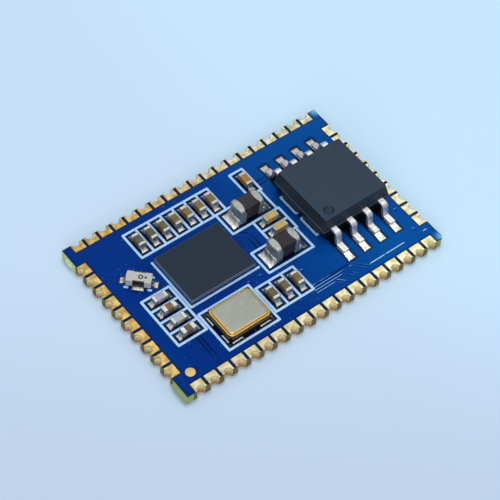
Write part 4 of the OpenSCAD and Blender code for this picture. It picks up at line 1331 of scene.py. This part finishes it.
def dipped_end(size):
    """A terminal whose end stands at size.x / 2, along +X."""
    shape = bmesh.new()
    on_end = Matrix.Rotation(math.pi / 2, 4, "Y")
    ring = bmesh.ops.create_circle(shape, segments=SECTION_STEPS, radius=1, matrix=on_end)["verts"]
    unit = [v.co.copy() for v in ring]
    edges = edges_at(ring)
    bmesh.ops.contextual_create(shape, geom=edges)
    half = size / 2
    lip = half.x - INDUCTOR_BAND + INDUCTOR_BOW
    stations = [(lip, INDUCTOR_PLATE, 1, 0), (lip, LIP_SOFT, 1, 0), (lip + LIP_SOFT, 0, 1, 0)]
    stations += [(half.x - back * MM, inset * MM, 0, dome) for back, inset, dome in END_RINGS]
    for index, (x, inset, bow, dome) in enumerate(stations):
        if index:
            grown = bmesh.ops.extrude_edge_only(shape, edges=edges)
            ring = verts_of(grown)
            edges = far_edges(grown)
        for vert, way in zip(ring, unit):
            point = section_point(way, half.y - inset, half.z - inset)
            across = abs(point.y) / half.y
            tall = abs(point.z) / half.z
            bowed = bow * INDUCTOR_BOW * (1 - min(across, tall) ** 2)
            domed = dome * INDUCTOR_DOME * across ** 2
            vert.co = Vector((x - bowed - domed, point.y, point.z))
    bmesh.ops.contextual_create(shape, geom=edges)
    return shape


print("Dipped ends:", len(END_RINGS), "rings round the dome")

# %% [markdown]
# ## Power inductors
# Each is a dark ferrite block between two dipped ends, with solder that climbs high on the metal. The block
# is one softened box, a little shorter than the ends reach, so that it stays inside their domes.

# %% Power inductors
INDUCTOR_ROUND = 0.13 * MM
INDUCTOR_TOE = 0.47 * MM
INDUCTOR_RISE = 0.42 * MM
INDUCTOR_SHORT = 0.3 * MM

for name in ("power_inductor_1", "power_inductor_2"):
    place, centre, size = chip_place(*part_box(name + "_terminals"))
    plating = BOTH_WAYS * INDUCTOR_PLATE + Vector((INDUCTOR_SHORT, 0, 0))
    core = placed(rounded_box(size - plating, INDUCTOR_ROUND, 4), centre)
    add_piece(name + "_block", core, CERAMICS["ferrite"], "ferrite", name + "_core")
    ends = bmesh.new()
    end = dipped_end(size)
    joint = solder_joint(-INDUCTOR_BAND, INDUCTOR_TOE, size.y, INDUCTOR_RISE)
    for turn in (0, 180):
        stamp(ends, end, centre @ turned(turn))
        stamp(solder, joint, place @ turned(turn) @ Matrix.Translation((size.x / 2, 0, 0)))
    end.free()
    joint.free()
    add_piece(name + "_ends", ends, SILVER, "tin_plate", name + "_terminals")

# %% [markdown]
# ## Band filter
# The filter sits askew between its lands: a white ceramic brick with metal on its ends and on the middle of
# its long sides. The metal is four thin plates, each with its own pool of solder.

# %% Band filter
FILTER_SIZE = Vector((1.6, 0.8, 0.6)) * MM
FILTER_END = 0.44 * MM
FILTER_SIDE = 0.72 * MM
FILTER_WRAP = 0.08 * MM
FILTER_PLATE = 0.02 * MM
FILTER_ROUND = 0.05 * MM
END_RISE = 0.28 * MM
SIDE_RISE = 0.08 * MM
END_TOE = 0.38 * MM
SIDE_TOE = 0.2 * MM

filter_place = Matrix.Translation((*filter_middle.xy, 0)) @ turned(FILTER_TURN)
filter_lift = Matrix.Translation((0, 0, filter_middle.z))
brick = rounded_box(FILTER_SIZE - BOTH_WAYS * FILTER_PLATE, FILTER_ROUND - FILTER_PLATE)
brick = placed(brick, filter_place @ filter_lift)
add_piece("band_filter_brick", brick, FILTER_CERAMIC, "white_ceramic", "rf_filter_body")
caps = bmesh.new()
filter_ends = (0, FILTER_SIZE.x, FILTER_END, END_TOE, END_RISE)
filter_sides = (90, FILTER_SIZE.y, FILTER_SIDE, SIDE_TOE, SIDE_RISE)
for turn, reach, wide, toe, rise in (filter_ends, filter_sides):
    strip = rounded_box((FILTER_WRAP, wide, FILTER_SIZE.z), FILTER_PLATE)
    joint = solder_joint(-FILTER_WRAP, toe, wide, rise)
    for way in (turn, turn + 180):
        side = filter_place @ turned(way)
        stamp(caps, strip, side @ filter_lift @ Matrix.Translation(((reach - FILTER_WRAP) / 2, 0, 0)))
        stamp(solder if turn == 0 else caps, joint, side @ Matrix.Translation((reach / 2, 0, 0)))
    strip.free()
    joint.free()
add_piece("band_filter_caps", caps, FILTER_METAL, "tin_plate", "rf_filter_terminals")

# %% [markdown]
# ## Crystal
# A metal lid is welded onto a gold ring on a ceramic tray. The lid's edge was pressed round, so it is a plate
# with upright corners bevelled wide, its top rim bevelled again and a shallow crown inset inside that.

# %% Crystal
LID_CORNER = 0.27 * MM
LID_SOFT = 0.08 * MM
LID_CROWN = 0.016 * MM
LID_CROWN_WIDTH = 0.06 * MM
RING_CORNER = 0.34 * MM
RING_SOFT = 0.03 * MM


def pressed_plate(low, high, corner, soft, steps):
    size = high - low
    shape = block(size)
    soften(shape, rising_edges(shape), corner, 8)
    soften(shape, edges_above(shape, size.z / 2 - MERGE), soft, steps)
    move(shape, middle(low, high))
    return shape


cover = pressed_plate(*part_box("crystal_lid"), LID_CORNER, LID_SOFT, 5)
top_face = top_of(cover)
crown = bmesh.ops.inset_region(cover, faces=[top_face], thickness=LID_CROWN_WIDTH)
lid_edge = {v for f in crown["faces"] for v in f.verts} - set(top_face.verts)
bmesh.ops.translate(cover, verts=list(lid_edge), vec=(0, 0, -LID_CROWN))
add_piece("crystal_cover", cover, LID, "lid_metal", "crystal_lid")
ring = pressed_plate(*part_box("crystal_seal_ring"), RING_CORNER, RING_SOFT, 3)
add_piece("crystal_ring", ring, SEAL, "seal_gold", "crystal_seal_ring")

# %% [markdown]
# ## Solder at the crystal
# Solder climbs the crystal's tray beside each corner, in eight short bars. They are low joints without the
# hollow, and they close the one piece that holds the solder of all the parts.

# %% Solder at the crystal
TRAY_BARS = Vector((0.78, 0.66, 0)) * MM
TRAY_TOE = 0.075 * MM
TRAY_RISE = 0.065 * MM
TRAY_CORNER = 0.16 * MM

tray_half = (tray_high - tray_low) / 2
tray_place = Matrix.Translation((*middle(tray_low, tray_high).xy, 0))
tray_ends = (0, tray_half.x, tray_half.y, TRAY_BARS.y)
tray_sides = (90, tray_half.y, tray_half.x, TRAY_BARS.x)
for turn, reach, spread, bar in (tray_ends, tray_sides):
    joint = solder_joint(-TRAY_TOE, TRAY_TOE, bar, TRAY_RISE, hollow=1.0)
    offset = spread - TRAY_CORNER - bar / 2
    for way in (turn, turn + 180):
        for along in (-offset, offset):
            stamp(solder, joint, tray_place @ turned(way) @ Matrix.Translation((reach, along, 0)))
    joint.free()
add_piece("reflowed_solder", solder, SOLDER, "solder", "chip_solder")

# %% [markdown]
